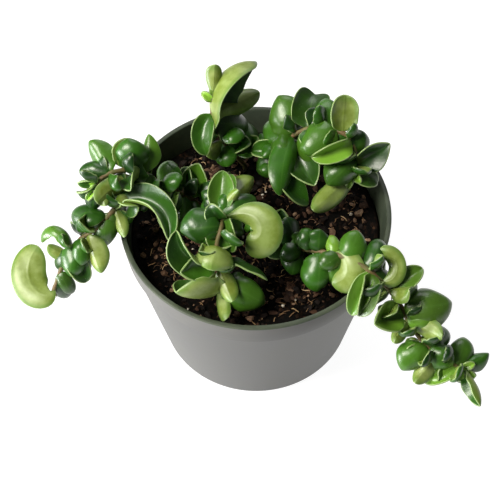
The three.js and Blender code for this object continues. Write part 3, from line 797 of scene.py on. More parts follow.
def flecked(name, stops, grain_mm, roughness, relief_mm):
    """Broken plant or mineral stuff: each scrap its own shade, with a grain along it."""
    material = blank_material(name)
    tree = material.node_tree
    place = add_node(tree, "ShaderNodeTexCoord").outputs["Object"]
    shade = add_node(tree, "ShaderNodeAttribute", {"attribute_name": "shade"})
    grain = add_node(tree, "ShaderNodeTexNoise", inputs={
        "Vector": place, "Scale": 1 / (grain_mm * MM), "Detail": 4.0, "Roughness": 0.65})
    mixed = add_node(tree, "ShaderNodeMix", {"data_type": "FLOAT"}, {
        0: 0.35, 2: shade.outputs["Fac"], 3: grain.outputs["Fac"]})
    tint = ramp(add_node(tree, "ShaderNodeValToRGB", inputs={"Fac": mixed.outputs[0]}), stops)
    bump = add_node(tree, "ShaderNodeBump", inputs={
        "Height": grain.outputs["Fac"], "Strength": 0.6, "Distance": relief_mm * MM})
    shader = add_node(tree, "ShaderNodeBsdfPrincipled", inputs={
        "Base Color": tint.outputs["Color"], "Roughness": roughness, "Normal": bump.outputs[0],
        "Specular IOR Level": 0.15})
    return finish_material(material, shader)


class OBJECT_OT_build_potting_mix(bpy.types.Operator):
    """Builds the bed of damp peat that fills the pot"""

    bl_idname = "object.build_potting_mix"
    bl_label = "Potting mix"

    def execute(self, context):
        sizes = context.scene.mix_sizes
        pot = context.scene.pot_sizes
        low = pot.floor + MIX_GAP
        edge = sizes.top - MIX_EDGE_DROP
        rim = mix_radius(pot, edge) - MIX_GAP
        profile = [(0.0, low), (mix_radius(pot, low) - MIX_GAP, low), (rim, edge)]
        profile += [(rim * (1 - k / MIX_RINGS), sizes.top) for k in range(1, MIX_RINGS + 1)]
        bm = bmesh.new()
        spin_profile(bm, profile, MIX_SIDES)
        for vert in bm.verts:
            if vert.co.z > sizes.top - MIX_GAP:
                x, y = vert.co.x / MM, vert.co.y / MM
                vert.co.z = mix_height(x, y, sizes) + crumb_height(x, y, sizes)
        bed = new_piece("potting_mix_bed", bm, [damp_peat()])
        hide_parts("potting_mix")
        return {"FINISHED"}


def scatter(rng, reach):
    """A place on the mix, in millimetres, evenly spread within a radius."""
    turn = rng.uniform(0, 2 * math.pi)
    radius = reach * math.sqrt(rng.random())
    return radius * math.cos(turn), radius * math.sin(turn)


def resting_frame(rng, x, y, sizes, lift, lean):
    """A random turn that lies nearly flat at a place, in millimetres, a lift above the mix."""
    tilt = Matrix.Rotation(rng.gauss(0, lean), 4, "X") @ Matrix.Rotation(rng.gauss(0, lean), 4, "Y")
    spin = Matrix.Rotation(rng.uniform(0, 2 * math.pi), 4, "Z")
    height = mix_height(x, y, sizes) + lift
    return Matrix.Translation((x * MM, y * MM, height)) @ tilt @ spin


def add_scrap(bm, rng, frame_at, size, rough):
    """One broken scrap: a pebble of twenty faces, squashed to its size and knocked about."""
    verts = bmesh.ops.create_icosphere(bm, subdivisions=1, radius=0.5)["verts"]
    for vert in verts:
        vert.co *= 1 + rng.uniform(-rough, rough)
    bmesh.ops.scale(bm, vec=size, verts=verts)
    bmesh.ops.transform(bm, matrix=frame_at, verts=verts)
    return verts


def set_shade(verts, layer, value):
    """Gives every vertex of a scrap the same shade."""
    for vert in verts:
        vert[layer] = value


class OBJECT_OT_build_bark_chips(bpy.types.Operator):
    """Scatters bark chips and perlite grains over the mix"""

    bl_idname = "object.build_bark_chips"
    bl_label = "Bark chips and perlite"

    def execute(self, context):
        sizes = context.scene.mix_sizes
        rng = random.Random(CHIP_SEED)
        reach = mix_radius(context.scene.pot_sizes, sizes.top) / MM - CHIP_MARGIN
        bm = bmesh.new()
        shade = bm.verts.layers.float.new("shade")
        for _ in range(sizes.chips):
            x, y = scatter(rng, reach)
            long = rng.triangular(*CHIP_LENGTH) * MM
            size = Vector((
                long, long * rng.uniform(*CHIP_WIDTH), long * rng.uniform(*CHIP_HEIGHT)))
            lift = CHIP_SHOWS * size.z + CHIP_LIFT
            place = resting_frame(rng, x, y, sizes, lift, CHIP_LEAN)
            set_shade(add_scrap(bm, rng, place, size, CHIP_ROUGHNESS), shade, rng.random())
        new_piece("bark_chips", bm, [flecked("Composted bark", [
            (0.15, "#060403"), (0.45, "#180f0a"), (0.66, "#422e22"), (0.82, "#7c624d"),
            (0.95, "#c6ad8c")], grain_mm=1.1, roughness=0.72, relief_mm=0.25),
        ], smooth=False)
        bm = bmesh.new()
        shade = bm.verts.layers.float.new("shade")
        for _ in range(sizes.grains):
            x, y = scatter(rng, reach)
            long = rng.uniform(*GRAIN_LENGTH) * MM
            size = Vector((
                long, long * rng.uniform(*GRAIN_WIDTH), long * rng.uniform(*GRAIN_HEIGHT)))
            place = resting_frame(rng, x, y, sizes, GRAIN_LIFT, GRAIN_LEAN)
            set_shade(add_scrap(bm, rng, place, size, GRAIN_ROUGHNESS), shade, rng.random())
        new_piece("perlite_grains", bm, [flecked("Perlite", [
            (0.0, "#a79c8c"), (0.6, "#cfc6b6"), (1.0, "#e8e2d6"),
        ], grain_mm=0.6, roughness=0.85, relief_mm=0.2)])
        return {"FINISHED"}


class OBJECT_OT_build_fibres(bpy.types.Operator):
    """Scatters thin pale fibres of root and coir over the mix"""

    bl_idname = "object.build_fibres"
    bl_label = "Fibres"

    def execute(self, context):
        sizes = context.scene.mix_sizes
        rng = random.Random(FIBRE_SEED)
        reach = mix_radius(context.scene.pot_sizes, sizes.top) / MM - FIBRE_MARGIN
        bm = bmesh.new()
        shade = bm.verts.layers.float.new("shade")
        for _ in range(sizes.fibres):
            x, y = scatter(rng, reach)
            heading = rng.uniform(0, 2 * math.pi)
            turn = rng.uniform(-FIBRE_TURN, FIBRE_TURN)
            step = rng.uniform(*FIBRE_STEP)
            places = []
            for k in range(len(FIBRE_TAPER)):
                height = mix_height(x, y, sizes) + crumb_height(x, y, sizes) + FIBRE_LIFT
                height += FIBRE_ARCH * math.sin(k * FIBRE_ARCH_TURN)
                places.append(Vector((x * MM, y * MM, height)))
                x += step * math.cos(heading)
                y += step * math.sin(heading)
                heading += turn + rng.uniform(-FIBRE_WOBBLE, FIBRE_WOBBLE)
            thick = rng.uniform(*FIBRE_RADIUS) * MM
            before = set(bm.verts)
            add_tube(bm, places, [thick * share for share in FIBRE_TAPER], FIBRE_SIDES)
            set_shade(set(bm.verts) - before, shade, rng.random())
        bmesh.ops.recalc_face_normals(bm, faces=bm.faces)
        new_piece("loose_fibres", bm, [flecked("Root and coir fibre", [
            (0.1, "#3c2a1e"), (0.55, "#86694b"), (0.85, "#c4aa80"), (1.0, "#e4d6b2"),
        ], grain_mm=1.5, roughness=0.7, relief_mm=0.1)])
        return {"FINISHED"}


# Stems

class Route:
    """A stem's smooth curve through its points, measured along its length, in millimetres."""

    def __init__(self, points):
        knots = [Vector(point) for point in points]
        knots = [2 * knots[0] - knots[1], *knots, 2 * knots[-1] - knots[-2]]
        self.line = []
        for a, b, c, d in zip(knots, knots[1:], knots[2:], knots[3:]):
            for k in range(ROUTE_STEPS):
                t = k / ROUTE_STEPS
                square = 2 * a - 5 * b + 4 * c - d
                cube = 3 * b - a - 3 * c + d
                self.line.append((2 * b + (c - a) * t + square * t ** 2 + cube * t ** 3) / 2)
        self.line.append(knots[-2])
        self.along = [0.0]
        for before, after in zip(self.line, self.line[1:]):
            self.along.append(self.along[-1] + (after - before).length)
        self.length = self.along[-1]

    def at(self, s):
        """The place at a length along the stem."""
        i = 1
        while i < len(self.line) - 1 and self.along[i] < s:
            i += 1
        span = self.along[i] - self.along[i - 1]
        share = min(max((s - self.along[i - 1]) / span, 0), 1)
        return self.line[i - 1].lerp(self.line[i], share)

    def heading(self, s):
        """The direction of growth at a length along the stem."""
        return (self.at(min(s + 1, self.length)) - self.at(max(s - 1, 0))).normalized()

    def clock(self, s):
        """That direction's clock in the picture plane, in degrees."""
        ahead = self.heading(s)
        return math.degrees(math.atan2(ahead.dot(VIEW_UP), ahead.dot(VIEW_RIGHT)))


def stem_bark(colour):
    """Soft woody skin of a wax plant's stem: brown with green showing through, ridged and dull."""
    material = blank_material("Stem bark")
    tree = material.node_tree
    place = add_node(tree, "ShaderNodeTexCoord").outputs["Object"]
    cloud = add_node(tree, "ShaderNodeTexNoise", inputs={
        "Vector": place, "Scale": 1 / (4 * MM), "Detail": 5.0, "Roughness": 0.65})
    spread = add_node(tree, "ShaderNodeMapRange", inputs={
        "Value": cloud.outputs["Fac"], "From Min": 0.35, "From Max": 0.7})
    tint = add_node(tree, "ShaderNodeMix", {"data_type": "RGBA"}, {
        0: spread.outputs[0], 6: colour, 7: linear("#54602c")})
    bump = add_node(tree, "ShaderNodeBump", inputs={
        "Height": cloud.outputs["Fac"], "Strength": 0.6, "Distance": 0.3 * MM})
    shader = add_node(tree, "ShaderNodeBsdfPrincipled", inputs={
        "Base Color": tint.outputs[2], "Roughness": 0.62, "Normal": bump.outputs[0]})
    return finish_material(material, shader)


def stem_radius(s, route, sizes, joints):
    """A stem's radius: it thins to its end, and swells a little where leaves grow."""
    base = sizes.stem_radius + (sizes.tip_radius - sizes.stem_radius) * s / route.length
    swell = sum(math.exp(-((s - joint) / JOINT_SPREAD) ** 2) for joint in joints)
    return base * (1 + JOINT_SWELL * min(swell, 1))


def add_aerial_root(bm, route, s, rng, sizes):
    """A short brown root that feels out of the stem's shaded side."""
    place = route.at(s)
    along = route.heading(s)
    side = along.cross(VIEW_OUT).normalized() * rng.choice((-1, 1))
    out = side * rng.uniform(*ROOT_SIDEWAYS) - VIEW_OUT * rng.uniform(*ROOT_BACKWARD)
    out = out.normalized()
    long = rng.uniform(*ROOT_LENGTH)
    last = len(ROOT_TAPER) - 1
    places = [
        (place + out * long * k / last + along * ROOT_SAG * k * k) * MM for k in range(last + 1)]
    radii = [ROOT_SHARE * sizes.stem_radius * share for share in ROOT_TAPER]
    add_tube(bm, places, radii, ROOT_SIDES)


class OBJECT_OT_build_stems(bpy.types.Operator):
    """Builds the woody stems with their swollen joints and short aerial roots"""

    bl_idname = "object.build_stems"
    bl_label = "Stems"

    def execute(self, context):
        sizes = context.scene.foliage_sizes
        bark = stem_bark(context.scene.plant_colours.stem)
        rng = random.Random(STEM_SEED)
        for name, branches in VINES.items():
            bm = bmesh.new()
            for branch in branches:
                route = Route(branch["route"])
                joints = sorted({row[0] for row in branch["leaves"]})
                count = math.ceil(route.length / STEM_STEP)
                stops = [route.length * k / count for k in range(count + 1)]
                places = [route.at(s) * MM for s in stops]
                radii = [stem_radius(s, route, sizes, joints) for s in stops]
                add_tube(bm, places, radii, STEM_SIDES)
                for s in joints[2::3]:
                    add_aerial_root(bm, route, s + ROOT_START, rng, sizes)
            bmesh.ops.recalc_face_normals(bm, faces=bm.faces)
            new_piece(name + "_stem", bm, [bark])
        return {"FINISHED"}


# Leaves

def between(ends, share):
    """The value at a share of the way from one end to the other."""
    return ends[0] + (ends[1] - ends[0]) * share


def blade_share(u, form):
    """Half width as a share of the widest: a narrow petiole, then a blade."""
    if u <= PETIOLE_END:
        return 0
    x = ((u - PETIOLE_END) / (1 - PETIOLE_END)) ** form.get("late", WIDEST)
    power = between((POINTED_OUTLINE[0], ROUND_OUTLINE[0]), form["round"])
    blunt = between((POINTED_OUTLINE[1], ROUND_OUTLINE[1]), form["round"])
    return max(1 - abs(2 * x - 1) ** power, 0) ** blunt


def midrib_of(length, form):
    """Places and turns along the midrib: X out along the leaf, Y to its side, Z its upper face."""
    def grown(u, ease):
        return min(max((u - PETIOLE_END) / (1 - PETIOLE_END), 0), 1) ** ease

    place = Vector((0, 0, 0))
    turn = Matrix.Identity(3)
    stations = [(place.copy(), turn.copy())]
    ease = form.get("ease", BEND_EASE)
    for i in range(MIDRIB_STEPS):
        u = i / MIDRIB_STEPS
        ahead = (i + 1) / MIDRIB_STEPS
        curl = math.radians(form["curl"]) * (grown(ahead, CURL_EASE) - grown(u, CURL_EASE))
        bend = math.radians(form.get("bend", 0)) * (grown(ahead, ease) - grown(u, ease))
        turn = turn @ Matrix.Rotation(curl, 3, "Y")
        turn = turn @ Matrix.Rotation(bend, 3, "Z")
        place = place + turn.col[0] * length / MIDRIB_STEPS
        stations.append((place.copy(), turn.copy()))
    return stations


def station_at(stations, u):
    """The midrib's place and turn at a share of its length."""
    k = u * MIDRIB_STEPS
    i = min(int(k), MIDRIB_STEPS - 1)
    share = k - i
    turn = stations[i][1].to_quaternion().slerp(stations[i + 1][1].to_quaternion(), share)
    return stations[i][0].lerp(stations[i + 1][0], share), turn.to_matrix()


def across_blade(half_width, fold, crease, v):
    """How far to the side and up a point lies that is v of the half width from the midrib."""
    side = rise = 0
    for k in range(SECTION_STEPS):
        middle = (k + 0.5) / SECTION_STEPS * abs(v)
        slope = fold * ((1 - crease) * middle ** FOLD_EASE + crease * min(middle / CREASE_WIDTH, 1))
        side += math.cos(slope)
        rise += math.sin(slope)
    reach = half_width * abs(v) / SECTION_STEPS
    return math.copysign(side * reach, v), rise * reach


class Leaf:
    """A leaf's place on its stem, its own axes, its size in millimetres and its form."""

    def __init__(self, root, axes, length, width, kind, changes=None):
        self.root = root
        self.axes = axes
        self.length = length
        self.width = width
        self.form = {**FORMS[kind], **(changes or {})}


def laid_leaf(route, s, clock, toward, roll, *shape):
    """A leaf given by its row in the picture plane."""
    return Leaf(route.at(s), picture_axes(clock, toward, roll), *shape)


def grown_leaf(route, s, turn, lean, *shape):
    """A leaf set by its turn round the stem, leaning towards the stem's growing end."""
    along = route.heading(s)
    over = along.cross(VIEW_OUT).normalized()
    radial = Matrix.Rotation(turn, 3, along) @ over
    out = radial * math.cos(lean) + along * math.sin(lean)
    upper = along * math.cos(lean) - radial * math.sin(lean)
    axes = Matrix((out, upper.cross(out), upper)).transposed()
    return Leaf(route.at(s) + radial, axes, *shape)


def picture_axes(clock, toward, roll):
    """The leaf's own axes, out, side and upper, as the columns of a matrix."""
    clock, toward, roll = (math.radians(value) for value in (clock, toward, roll))
    out = math.cos(toward) * (math.cos(clock) * VIEW_RIGHT + math.sin(clock) * VIEW_UP)
    out += math.sin(toward) * VIEW_OUT
    facing = (VIEW_OUT - out * out.dot(VIEW_OUT)).normalized()
    beside = facing.cross(out)
    upper = math.cos(roll) * facing + math.sin(roll) * beside
    return Matrix((out, upper.cross(out), upper)).transposed()


def blade_points(leaf, grid, rng, ripple):
    """Places of a grid of shares along and across a leaf, in millimetres."""
    form = leaf.form
    stations = midrib_of(leaf.length, form)
    waves = rng.uniform(*WAVES)
    phase = rng.uniform(0, 2 * math.pi)
    sway = rng.uniform(-SWAY, SWAY)
    lump_place = rng.uniform(0, 100)
    small = min(leaf.length / FULL_WAVES, 1)
    lopsided = LOPSIDED * math.sin(lump_place)
    twist = TWIST * math.cos(lump_place)
    points = []
    for u, v in grid:
        least = PETIOLE_HALF_WIDTH if u < 0.5 else TIP_HALF_WIDTH
        half_width = max(blade_share(u, form) * leaf.width / 2, least)
        opening = min(max((u - OPENING_START) / OPENING_SPAN, LEAST_OPENING), 1)
        fold = math.radians(form["fold"]) * opening * (1 + math.copysign(lopsided, v))
        side, rise = across_blade(half_width, fold, form["crease"], v)
        growing = min(u * 3, 1) * (1 - u ** 4)
        broad = min(half_width / FULL_LUMPS, 1)
        wave = math.sin(2 * math.pi * waves * u + phase + math.copysign(sway * 3, v))
        lump = noise.noise(Vector((LUMPS_ALONG * u, LUMPS_ACROSS * v, lump_place))) * broad
        rise += ripple * (small * wave * v * v + LUMP_SHARE * lump * (1 - v * v)) * growing
        rise -= GROOVE_DEPTH * math.exp(-(v / GROOVE_WIDTH) ** 2) * growing * broad
        place, turn = station_at(stations, u)
        section = Matrix.Rotation(twist * u * u, 3, "X") @ Vector((0, side, rise))
        spot = leaf.axes @ (place + turn @ section)
        points.append((spot + leaf.root, half_width))
    return points


def smooth_share(u):
    """Spaces rows of vertices more closely at the two ends of a leaf."""
    return (1 - END_CROWDING) * u + END_CROWDING * (0.5 - 0.5 * math.cos(math.pi * u))


def add_leaf(bm, layers, leaf, rng, sizes, youth):
    """One blade as a sheet through the middle of its thickness."""
    length = leaf.length
    rows, columns = LONG_GRID if length > LONG_LEAF else SHORT_GRID
    verts = bmesh.ops.create_grid(bm, x_segments=rows, y_segments=columns, size=1)["verts"]
    grid = [
        (smooth_share((vert.co.x + 1) / 2), math.sin(vert.co.y * math.pi / 2)) for vert in verts]
    tone = rng.random()
    points = blade_points(leaf, grid, rng, sizes.ripple / MM)
    for vert, (u, v), (place, half_width) in zip(verts, grid, points):
        vert.co = place * MM
        vert[layers["tone"]] = tone
        vert[layers["youth"]] = youth
        vert[layers["edge"]] = min((1 - abs(v)) * half_width, (1 - u) * length * TIP_MARGIN)
        vert[layers["across"]] = v
        thick = (1 - abs(v) ** 3) * min(1, half_width / FULL_THICKNESS)
        thick *= min(1, (1 - u) * TIP_THINNING)
        vert[layers["weight"]][0] = min(max(thick, 0), 1)


def is_bare(branch, s):
    """Whether the photographed stem shows no leaves there."""
    return any(low <= s <= high for low, high in branch.get("bare", []))


def filling_leaves(branch, route, sizes, rng):
    """Pairs of leaves round the stem, each pair square to the last, as a wax plant grows them."""
    leaves = []
    s = FILL_START
    turn = math.pi / 4
    while s < route.length - FILL_STOP:
        for half in (0, math.pi):
            around = turn + half + rng.uniform(-FILL_SCATTER, FILL_SCATTER)
            lean = rng.uniform(*FILL_LEAN)
            length = rng.uniform(*FILL_LENGTH) * (1 - FILL_TAPER * s / route.length)
            kind, curls, folds = rng.choice(FILL_FORMS)
            if math.sin(around) > FACING_SINE:
                kind, curls, folds = FACING_FORM
            changes = {"curl": rng.uniform(*curls), "fold": rng.uniform(*folds)}
            if not is_bare(branch, s):
                leaves.append(grown_leaf(route, s, around, lean, length, length, kind, changes))
        turn += math.pi / 2
        s += sizes.fill_step / MM
    return leaves


def clear_of_pot(leaf, pot, mix):
    """Whether a leaf keeps out of the pot's wall and the mix."""
    grid = [(u / 8, v / 2) for u in range(1, 9) for v in range(-2, 3)]
    outer = pot.rim_radius + LIP_CLEARANCE
    for place, _ in blade_points(leaf, grid, random.Random(1), 0):
        place = place * MM
        radius = place.xy.length
        inner = mix_radius(pot, min(place.z, pot.height))
        if place.z < mix.top + MIX_CLEARANCE and radius < inner:
            return False
        if place.z < pot.height + LIP_CLEARANCE and inner - WALL_CLEARANCE < radius < outer:
            return False
    return True


def bud_leaves(branch, route):
    """Three tiny folded leaves at a vine's growing end, unless that end is bare."""
    if is_bare(branch, route.length):
        return []
    clock = route.clock(route.length)
    return [laid_leaf(route, route.length - back, clock + aside, *shape)
            for back, aside, *shape in BUDS]


def waxy_upper_face(colour, margin):
    """Wax plant leaf from above: deep glossy green, clouded, flecked with silver, pale margin."""
    material = blank_material("Waxy leaf upper face")
    tree = material.node_tree
    place = add_node(tree, "ShaderNodeTexCoord").outputs["Object"]
    tone, youth, edge, across = (
        add_node(tree, "ShaderNodeAttribute", {"attribute_name": name}).outputs["Fac"]
        for name in ("tone", "youth", "edge", "across"))
    cloud = add_node(tree, "ShaderNodeTexNoise", inputs={
        "Vector": place, "Scale": 1 / (7 * MM), "Detail": 5.0, "Roughness": 0.6})
    blend = add_node(tree, "ShaderNodeMix", {"data_type": "FLOAT"}, {
        0: 0.5, 2: tone, 3: cloud.outputs["Fac"]})
    lift = add_node(tree, "ShaderNodeMapRange", inputs={
        "Value": blend.outputs[0], "From Min": 0.25, "From Max": 0.8})
    grown = add_node(tree, "ShaderNodeMix", {"data_type": "RGBA"}, {
        0: lift.outputs[0], 6: colour, 7: linear("#326312")})
    young = add_node(tree, "ShaderNodeMix", {"data_type": "RGBA"}, {
        0: youth, 6: grown.outputs[2], 7: linear("#86b63a")})
    rib = add_node(tree, "ShaderNodeMath", {"operation": "ABSOLUTE"}, {0: across})
    rib_line = add_node(tree, "ShaderNodeMapRange", inputs={
        "Value": rib.outputs[0], "From Min": 0.0, "From Max": 0.07, "To Min": 0.22, "To Max": 0.0})
    ribbed = add_node(tree, "ShaderNodeMix", {"data_type": "RGBA"}, {
        0: rib_line.outputs[0], 6: young.outputs[2], 7: linear("#557f34")})
    flecks = add_node(tree, "ShaderNodeTexNoise", inputs={
        "Vector": place, "Scale": 1 / (0.9 * MM), "Detail": 1.0})
    few = add_node(tree, "ShaderNodeMapRange", inputs={
        "Value": flecks.outputs["Fac"], "From Min": 0.74, "From Max": 0.8, "To Max": 0.3})
    flecked_tint = add_node(tree, "ShaderNodeMix", {"data_type": "RGBA"}, {
        0: few.outputs[0], 6: ribbed.outputs[2], 7: linear("#a8bf9a")})
    rim = add_node(tree, "ShaderNodeMapRange", {"interpolation_type": "SMOOTHSTEP"}, {
        "Value": edge, "From Min": 0.05, "From Max": 0.38, "To Min": 0.7, "To Max": 0.0})
    tint = add_node(tree, "ShaderNodeMix", {"data_type": "RGBA"}, {
        0: rim.outputs[0], 6: flecked_tint.outputs[2], 7: margin})
    bump = add_node(tree, "ShaderNodeBump", inputs={
        "Height": cloud.outputs["Fac"], "Strength": 0.35, "Distance": 1.2 * MM})
    shader = add_node(tree, "ShaderNodeBsdfPrincipled", inputs={
        "Base Color": tint.outputs[2], "Roughness": 0.35, "Normal": bump.outputs[0],
        "Coat Weight": 0.15, "Coat Roughness": 0.25})
    return finish_material(material, shader)


def waxy_under_face(colour, margin):
    """Wax plant leaf from beneath: pale yellow-green satin, mottled, darker towards its edge."""
    material = blank_material("Waxy leaf under face")
    tree = material.node_tree
    place = add_node(tree, "ShaderNodeTexCoord").outputs["Object"]
    tone, edge, across = (
        add_node(tree, "ShaderNodeAttribute", {"attribute_name": name}).outputs["Fac"]
        for name in ("tone", "edge", "across"))
    cloud = add_node(tree, "ShaderNodeTexNoise", inputs={
        "Vector": place, "Scale": 1 / (8 * MM), "Detail": 5.0, "Roughness": 0.62})
    lift = add_node(tree, "ShaderNodeMapRange", inputs={
        "Value": cloud.outputs["Fac"], "From Min": 0.38, "From Max": 0.6})
    mottled = add_node(tree, "ShaderNodeMix", {"data_type": "RGBA"}, {
        0: lift.outputs[0], 6: linear("#6d7d2b"), 7: colour})
    shade = add_node(tree, "ShaderNodeMapRange", inputs={
        "Value": tone, "To Min": 0.0, "To Max": 0.3})
    toned = add_node(tree, "ShaderNodeMix", {"data_type": "RGBA"}, {
        0: shade.outputs[0], 6: mottled.outputs[2], 7: linear("#6f9038")})
    inner = add_node(tree, "ShaderNodeMapRange", {"interpolation_type": "SMOOTHSTEP"}, {
        "Value": edge, "From Min": 0.9, "From Max": 3.2, "To Min": 0.6, "To Max": 0.0})
    banded = add_node(tree, "ShaderNodeMix", {"data_type": "RGBA"}, {
        0: inner.outputs[0], 6: toned.outputs[2], 7: linear("#4f7524")})
    rim = add_node(tree, "ShaderNodeMapRange", {"interpolation_type": "SMOOTHSTEP"}, {
        "Value": edge, "From Min": 0.05, "From Max": 0.4, "To Min": 0.7, "To Max": 0.0})
    tint = add_node(tree, "ShaderNodeMix", {"data_type": "RGBA"}, {
        0: rim.outputs[0], 6: banded.outputs[2], 7: margin})
    rib = add_node(tree, "ShaderNodeMath", {"operation": "ABSOLUTE"}, {0: across})
    ridge = add_node(tree, "ShaderNodeMapRange", inputs={
        "Value": rib.outputs[0], "From Min": 0.0, "From Max": 0.12, "To Min": 1.0, "To Max": 0.0})
    height = add_node(tree, "ShaderNodeMath", {"operation": "ADD"}, {
        0: ridge.outputs[0], 1: cloud.outputs["Fac"]})
    bump = add_node(tree, "ShaderNodeBump", inputs={
        "Height": height.outputs[0], "Strength": 0.18, "Distance": 0.7 * MM})
    shader = add_node(tree, "ShaderNodeBsdfPrincipled", inputs={
        "Base Color": tint.outputs[2], "Roughness": 0.42, "Normal": bump.outputs[0],
        "Coat Weight": 0.1, "Coat Roughness": 0.3})
    return finish_material(material, shader)


def leaf_margin_rim(margin):
    """The cut-like edge of the blade: pale cream-green and slightly translucent."""
    material = blank_material("Pale leaf margin")
    tree = material.node_tree
    place = add_node(tree, "ShaderNodeTexCoord").outputs["Object"]
    cloud = add_node(tree, "ShaderNodeTexNoise", inputs={
        "Vector": place, "Scale": 1 / (6 * MM), "Detail": 3.0})
    tint = add_node(tree, "ShaderNodeMix", {"data_type": "RGBA"}, {
        0: cloud.outputs["Fac"], 6: margin, 7: linear("#5f7d3a")})
    shader = add_node(tree, "ShaderNodeBsdfPrincipled", inputs={
        "Base Color": tint.outputs[2], "Roughness": 0.4})
    return finish_material(material, shader)


class OBJECT_OT_build_leaves(bpy.types.Operator):
    """Builds each vine's curled leaves, thick along the midrib and thin at their pale margins"""

    bl_idname = "object.build_leaves"
    bl_label = "Leaves"

    def execute(self, context):
        scene = context.scene
        sizes, colours = scene.foliage_sizes, scene.plant_colours
        materials = [
            waxy_upper_face(colours.leaf, colours.margin),
            waxy_under_face(colours.underside, colours.margin),
            leaf_margin_rim(colours.margin),
        ]
        rng = random.Random(LEAF_SEED)
        for name, branches in VINES.items():
            bm = bmesh.new()
            layers = {key: bm.verts.layers.float.new(key)
                      for key in ("tone", "youth", "edge", "across")}
            layers["weight"] = bm.verts.layers.deform.verify()
            for branch in branches:
                route = Route(branch["route"])
                for row in branch["leaves"]:
                    youth = max(0, rng.gauss(*YOUTH))
                    leaf = laid_leaf(route, *row)
                    add_leaf(bm, layers, leaf, rng, sizes, leaf.form.get("young", youth))
                for leaf in filling_leaves(branch, route, sizes, rng):
                    if clear_of_pot(leaf, scene.pot_sizes, scene.mix_sizes):
                        add_leaf(bm, layers, leaf, rng, sizes, 0.0)
                for leaf in bud_leaves(branch, route):
                    add_leaf(bm, layers, leaf, rng, sizes, BUD_YOUTH)
            leaves = new_piece(name + "_leaves", bm, materials)
            leaves.vertex_groups.new(name="Blade")
            body = leaves.modifiers.new("Blade thickness", "SOLIDIFY")
            body.thickness = sizes.blade_thickness
            body.offset = 0
            body.vertex_group = "Blade"
            body.thickness_vertex_group = sizes.margin_share
            body.material_offset = 1
            body.material_offset_rim = 2
            soft = leaves.modifiers.new("Soft blade", "SUBSURF")
            soft.levels = soft.render_levels = 1
            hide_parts(name)
        return {"FINISHED"}


# Stage

def add_light(name, place, target, size, power, colour):
    """A square soft light that faces the target."""
    data = bpy.data.lights.new(name, "AREA")
    data.shape = "SQUARE"
    data.size = size
    data.energy = power
    data.color = linear(colour)[:3]
    light = bpy.data.objects.new(name, data)
    light.location = place
    light.rotation_mode = "QUATERNION"
    light.rotation_quaternion = (Vector(target) - Vector(place)).to_track_quat("-Z", "Y")
    bpy.context.scene.collection.objects.link(light)


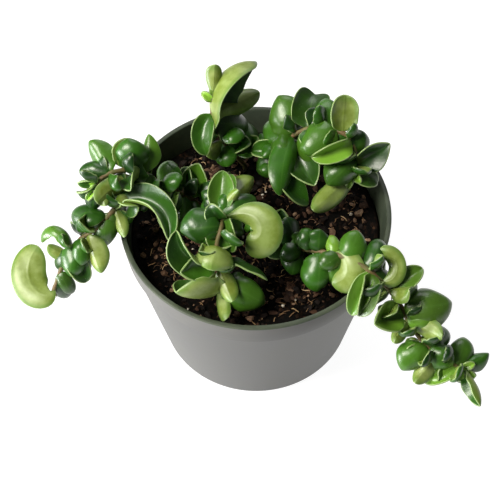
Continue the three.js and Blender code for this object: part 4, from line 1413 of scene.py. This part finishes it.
class OBJECT_OT_build_studio(bpy.types.Operator):
    """Builds the pale floor, the soft lights and the camera that looks down on the plant"""

    bl_idname = "object.build_studio"
    bl_label = "Studio"

    def execute(self, context):
        scene = context.scene
        bm = bmesh.new()
        bmesh.ops.create_grid(bm, x_segments=1, y_segments=1, size=FLOOR_HALF_SIZE)
        mesh = bpy.data.meshes.new("studio_floor")
        bm.to_mesh(mesh)
        bm.free()
        floor = bpy.data.objects.new("studio_floor", mesh)
        scene.collection.objects.link(floor)
        paper = blank_material("White paper sweep")
        tree = paper.node_tree
        matt = add_node(tree, "ShaderNodeBsdfPrincipled", inputs={
            "Base Color": linear("#7a7a7a"), "Roughness": 0.9, "Specular IOR Level": 0.1,
            "Emission Color": linear("#ffffff"), "Emission Strength": 0.95})
        mesh.materials.append(finish_material(paper, matt))
        world = bpy.data.worlds.new("Studio air")
        world.use_nodes = True
        air = world.node_tree.nodes["Background"]
        air.inputs["Color"].default_value = linear("#f2f5f8")
        air.inputs["Strength"].default_value = AIR_STRENGTH
        scene.world = world
        for light in LIGHTS:
            add_light(*light)
        scene.view_settings.view_transform = "Standard"
        self.add_camera(scene)
        return {"FINISHED"}

    def add_camera(self, scene):
        """The camera of a 493 by 489 picture, which looks down from the front."""
        yaw, pitch, roll = (
            math.radians(value) for value in (CAMERA_YAW, CAMERA_PITCH, CAMERA_ROLL))
        ahead = math.cos(pitch)
        look = Vector((math.sin(yaw) * ahead, math.cos(yaw) * ahead, -math.sin(pitch)))
        level = look.cross(Vector((0, 0, 1))).normalized()
        upright = level.cross(look)
        right = math.cos(roll) * level + math.sin(roll) * upright
        up = math.cos(roll) * upright - math.sin(roll) * level
        data = bpy.data.cameras.new("camera")
        data.sensor_width = SENSOR_WIDTH
        data.lens = SENSOR_WIDTH * FOCAL_PIXELS / PICTURE_WIDTH
        camera = bpy.data.objects.new("camera", data)
        turn = Matrix((right, up, -look)).transposed().to_4x4()
        camera.matrix_world = Matrix.Translation(CAMERA_PLACE) @ turn
        scene.collection.objects.link(camera)
        scene.camera = camera


class VIEW3D_PT_rope_plant(bpy.types.Panel):
    """Lists the plant's pieces in the sidebar"""

    bl_idname = "VIEW3D_PT_rope_plant"
    bl_label = "Rope plant"
    bl_space_type = "VIEW_3D"
    bl_region_type = "UI"
    bl_category = "Rope plant"

    def draw(self, context):
        scene = context.scene
        for settings in SETTINGS:
            box = self.layout.box()
            group = getattr(scene, settings)
            for name in group.bl_rna.properties.keys():
                if name not in ("rna_type", "name"):
                    box.prop(group, name)
        for operator in OPERATORS:
            self.layout.operator(operator.bl_idname)


SETTINGS = {
    "pot_sizes": PotSizes,
    "mix_sizes": MixSizes,
    "foliage_sizes": FoliageSizes,
    "plant_colours": PlantColours,
}
OPERATORS = [
    OBJECT_OT_build_nursery_pot,
    OBJECT_OT_build_potting_mix,
    OBJECT_OT_build_bark_chips,
    OBJECT_OT_build_fibres,
    OBJECT_OT_build_stems,
    OBJECT_OT_build_leaves,
    OBJECT_OT_build_studio,
]


def register():
    for name, group in SETTINGS.items():
        bpy.utils.register_class(group)
        setattr(bpy.types.Scene, name, bpy.props.PointerProperty(type=group))
    for operator in OPERATORS:
        bpy.utils.register_class(operator)
    bpy.utils.register_class(VIEW3D_PT_rope_plant)


def unregister():
    bpy.utils.unregister_class(VIEW3D_PT_rope_plant)
    for operator in reversed(OPERATORS):
        bpy.utils.unregister_class(operator)
    for name, group in SETTINGS.items():
        delattr(bpy.types.Scene, name)
        bpy.utils.unregister_class(group)


def main():
    register()
    bpy.ops.object.build_nursery_pot()
    bpy.ops.object.build_potting_mix()
    bpy.ops.object.build_bark_chips()
    bpy.ops.object.build_fibres()
    bpy.ops.object.build_stems()
    bpy.ops.object.build_leaves()
    bpy.ops.object.build_studio()


if __name__ == "__main__":
    main()
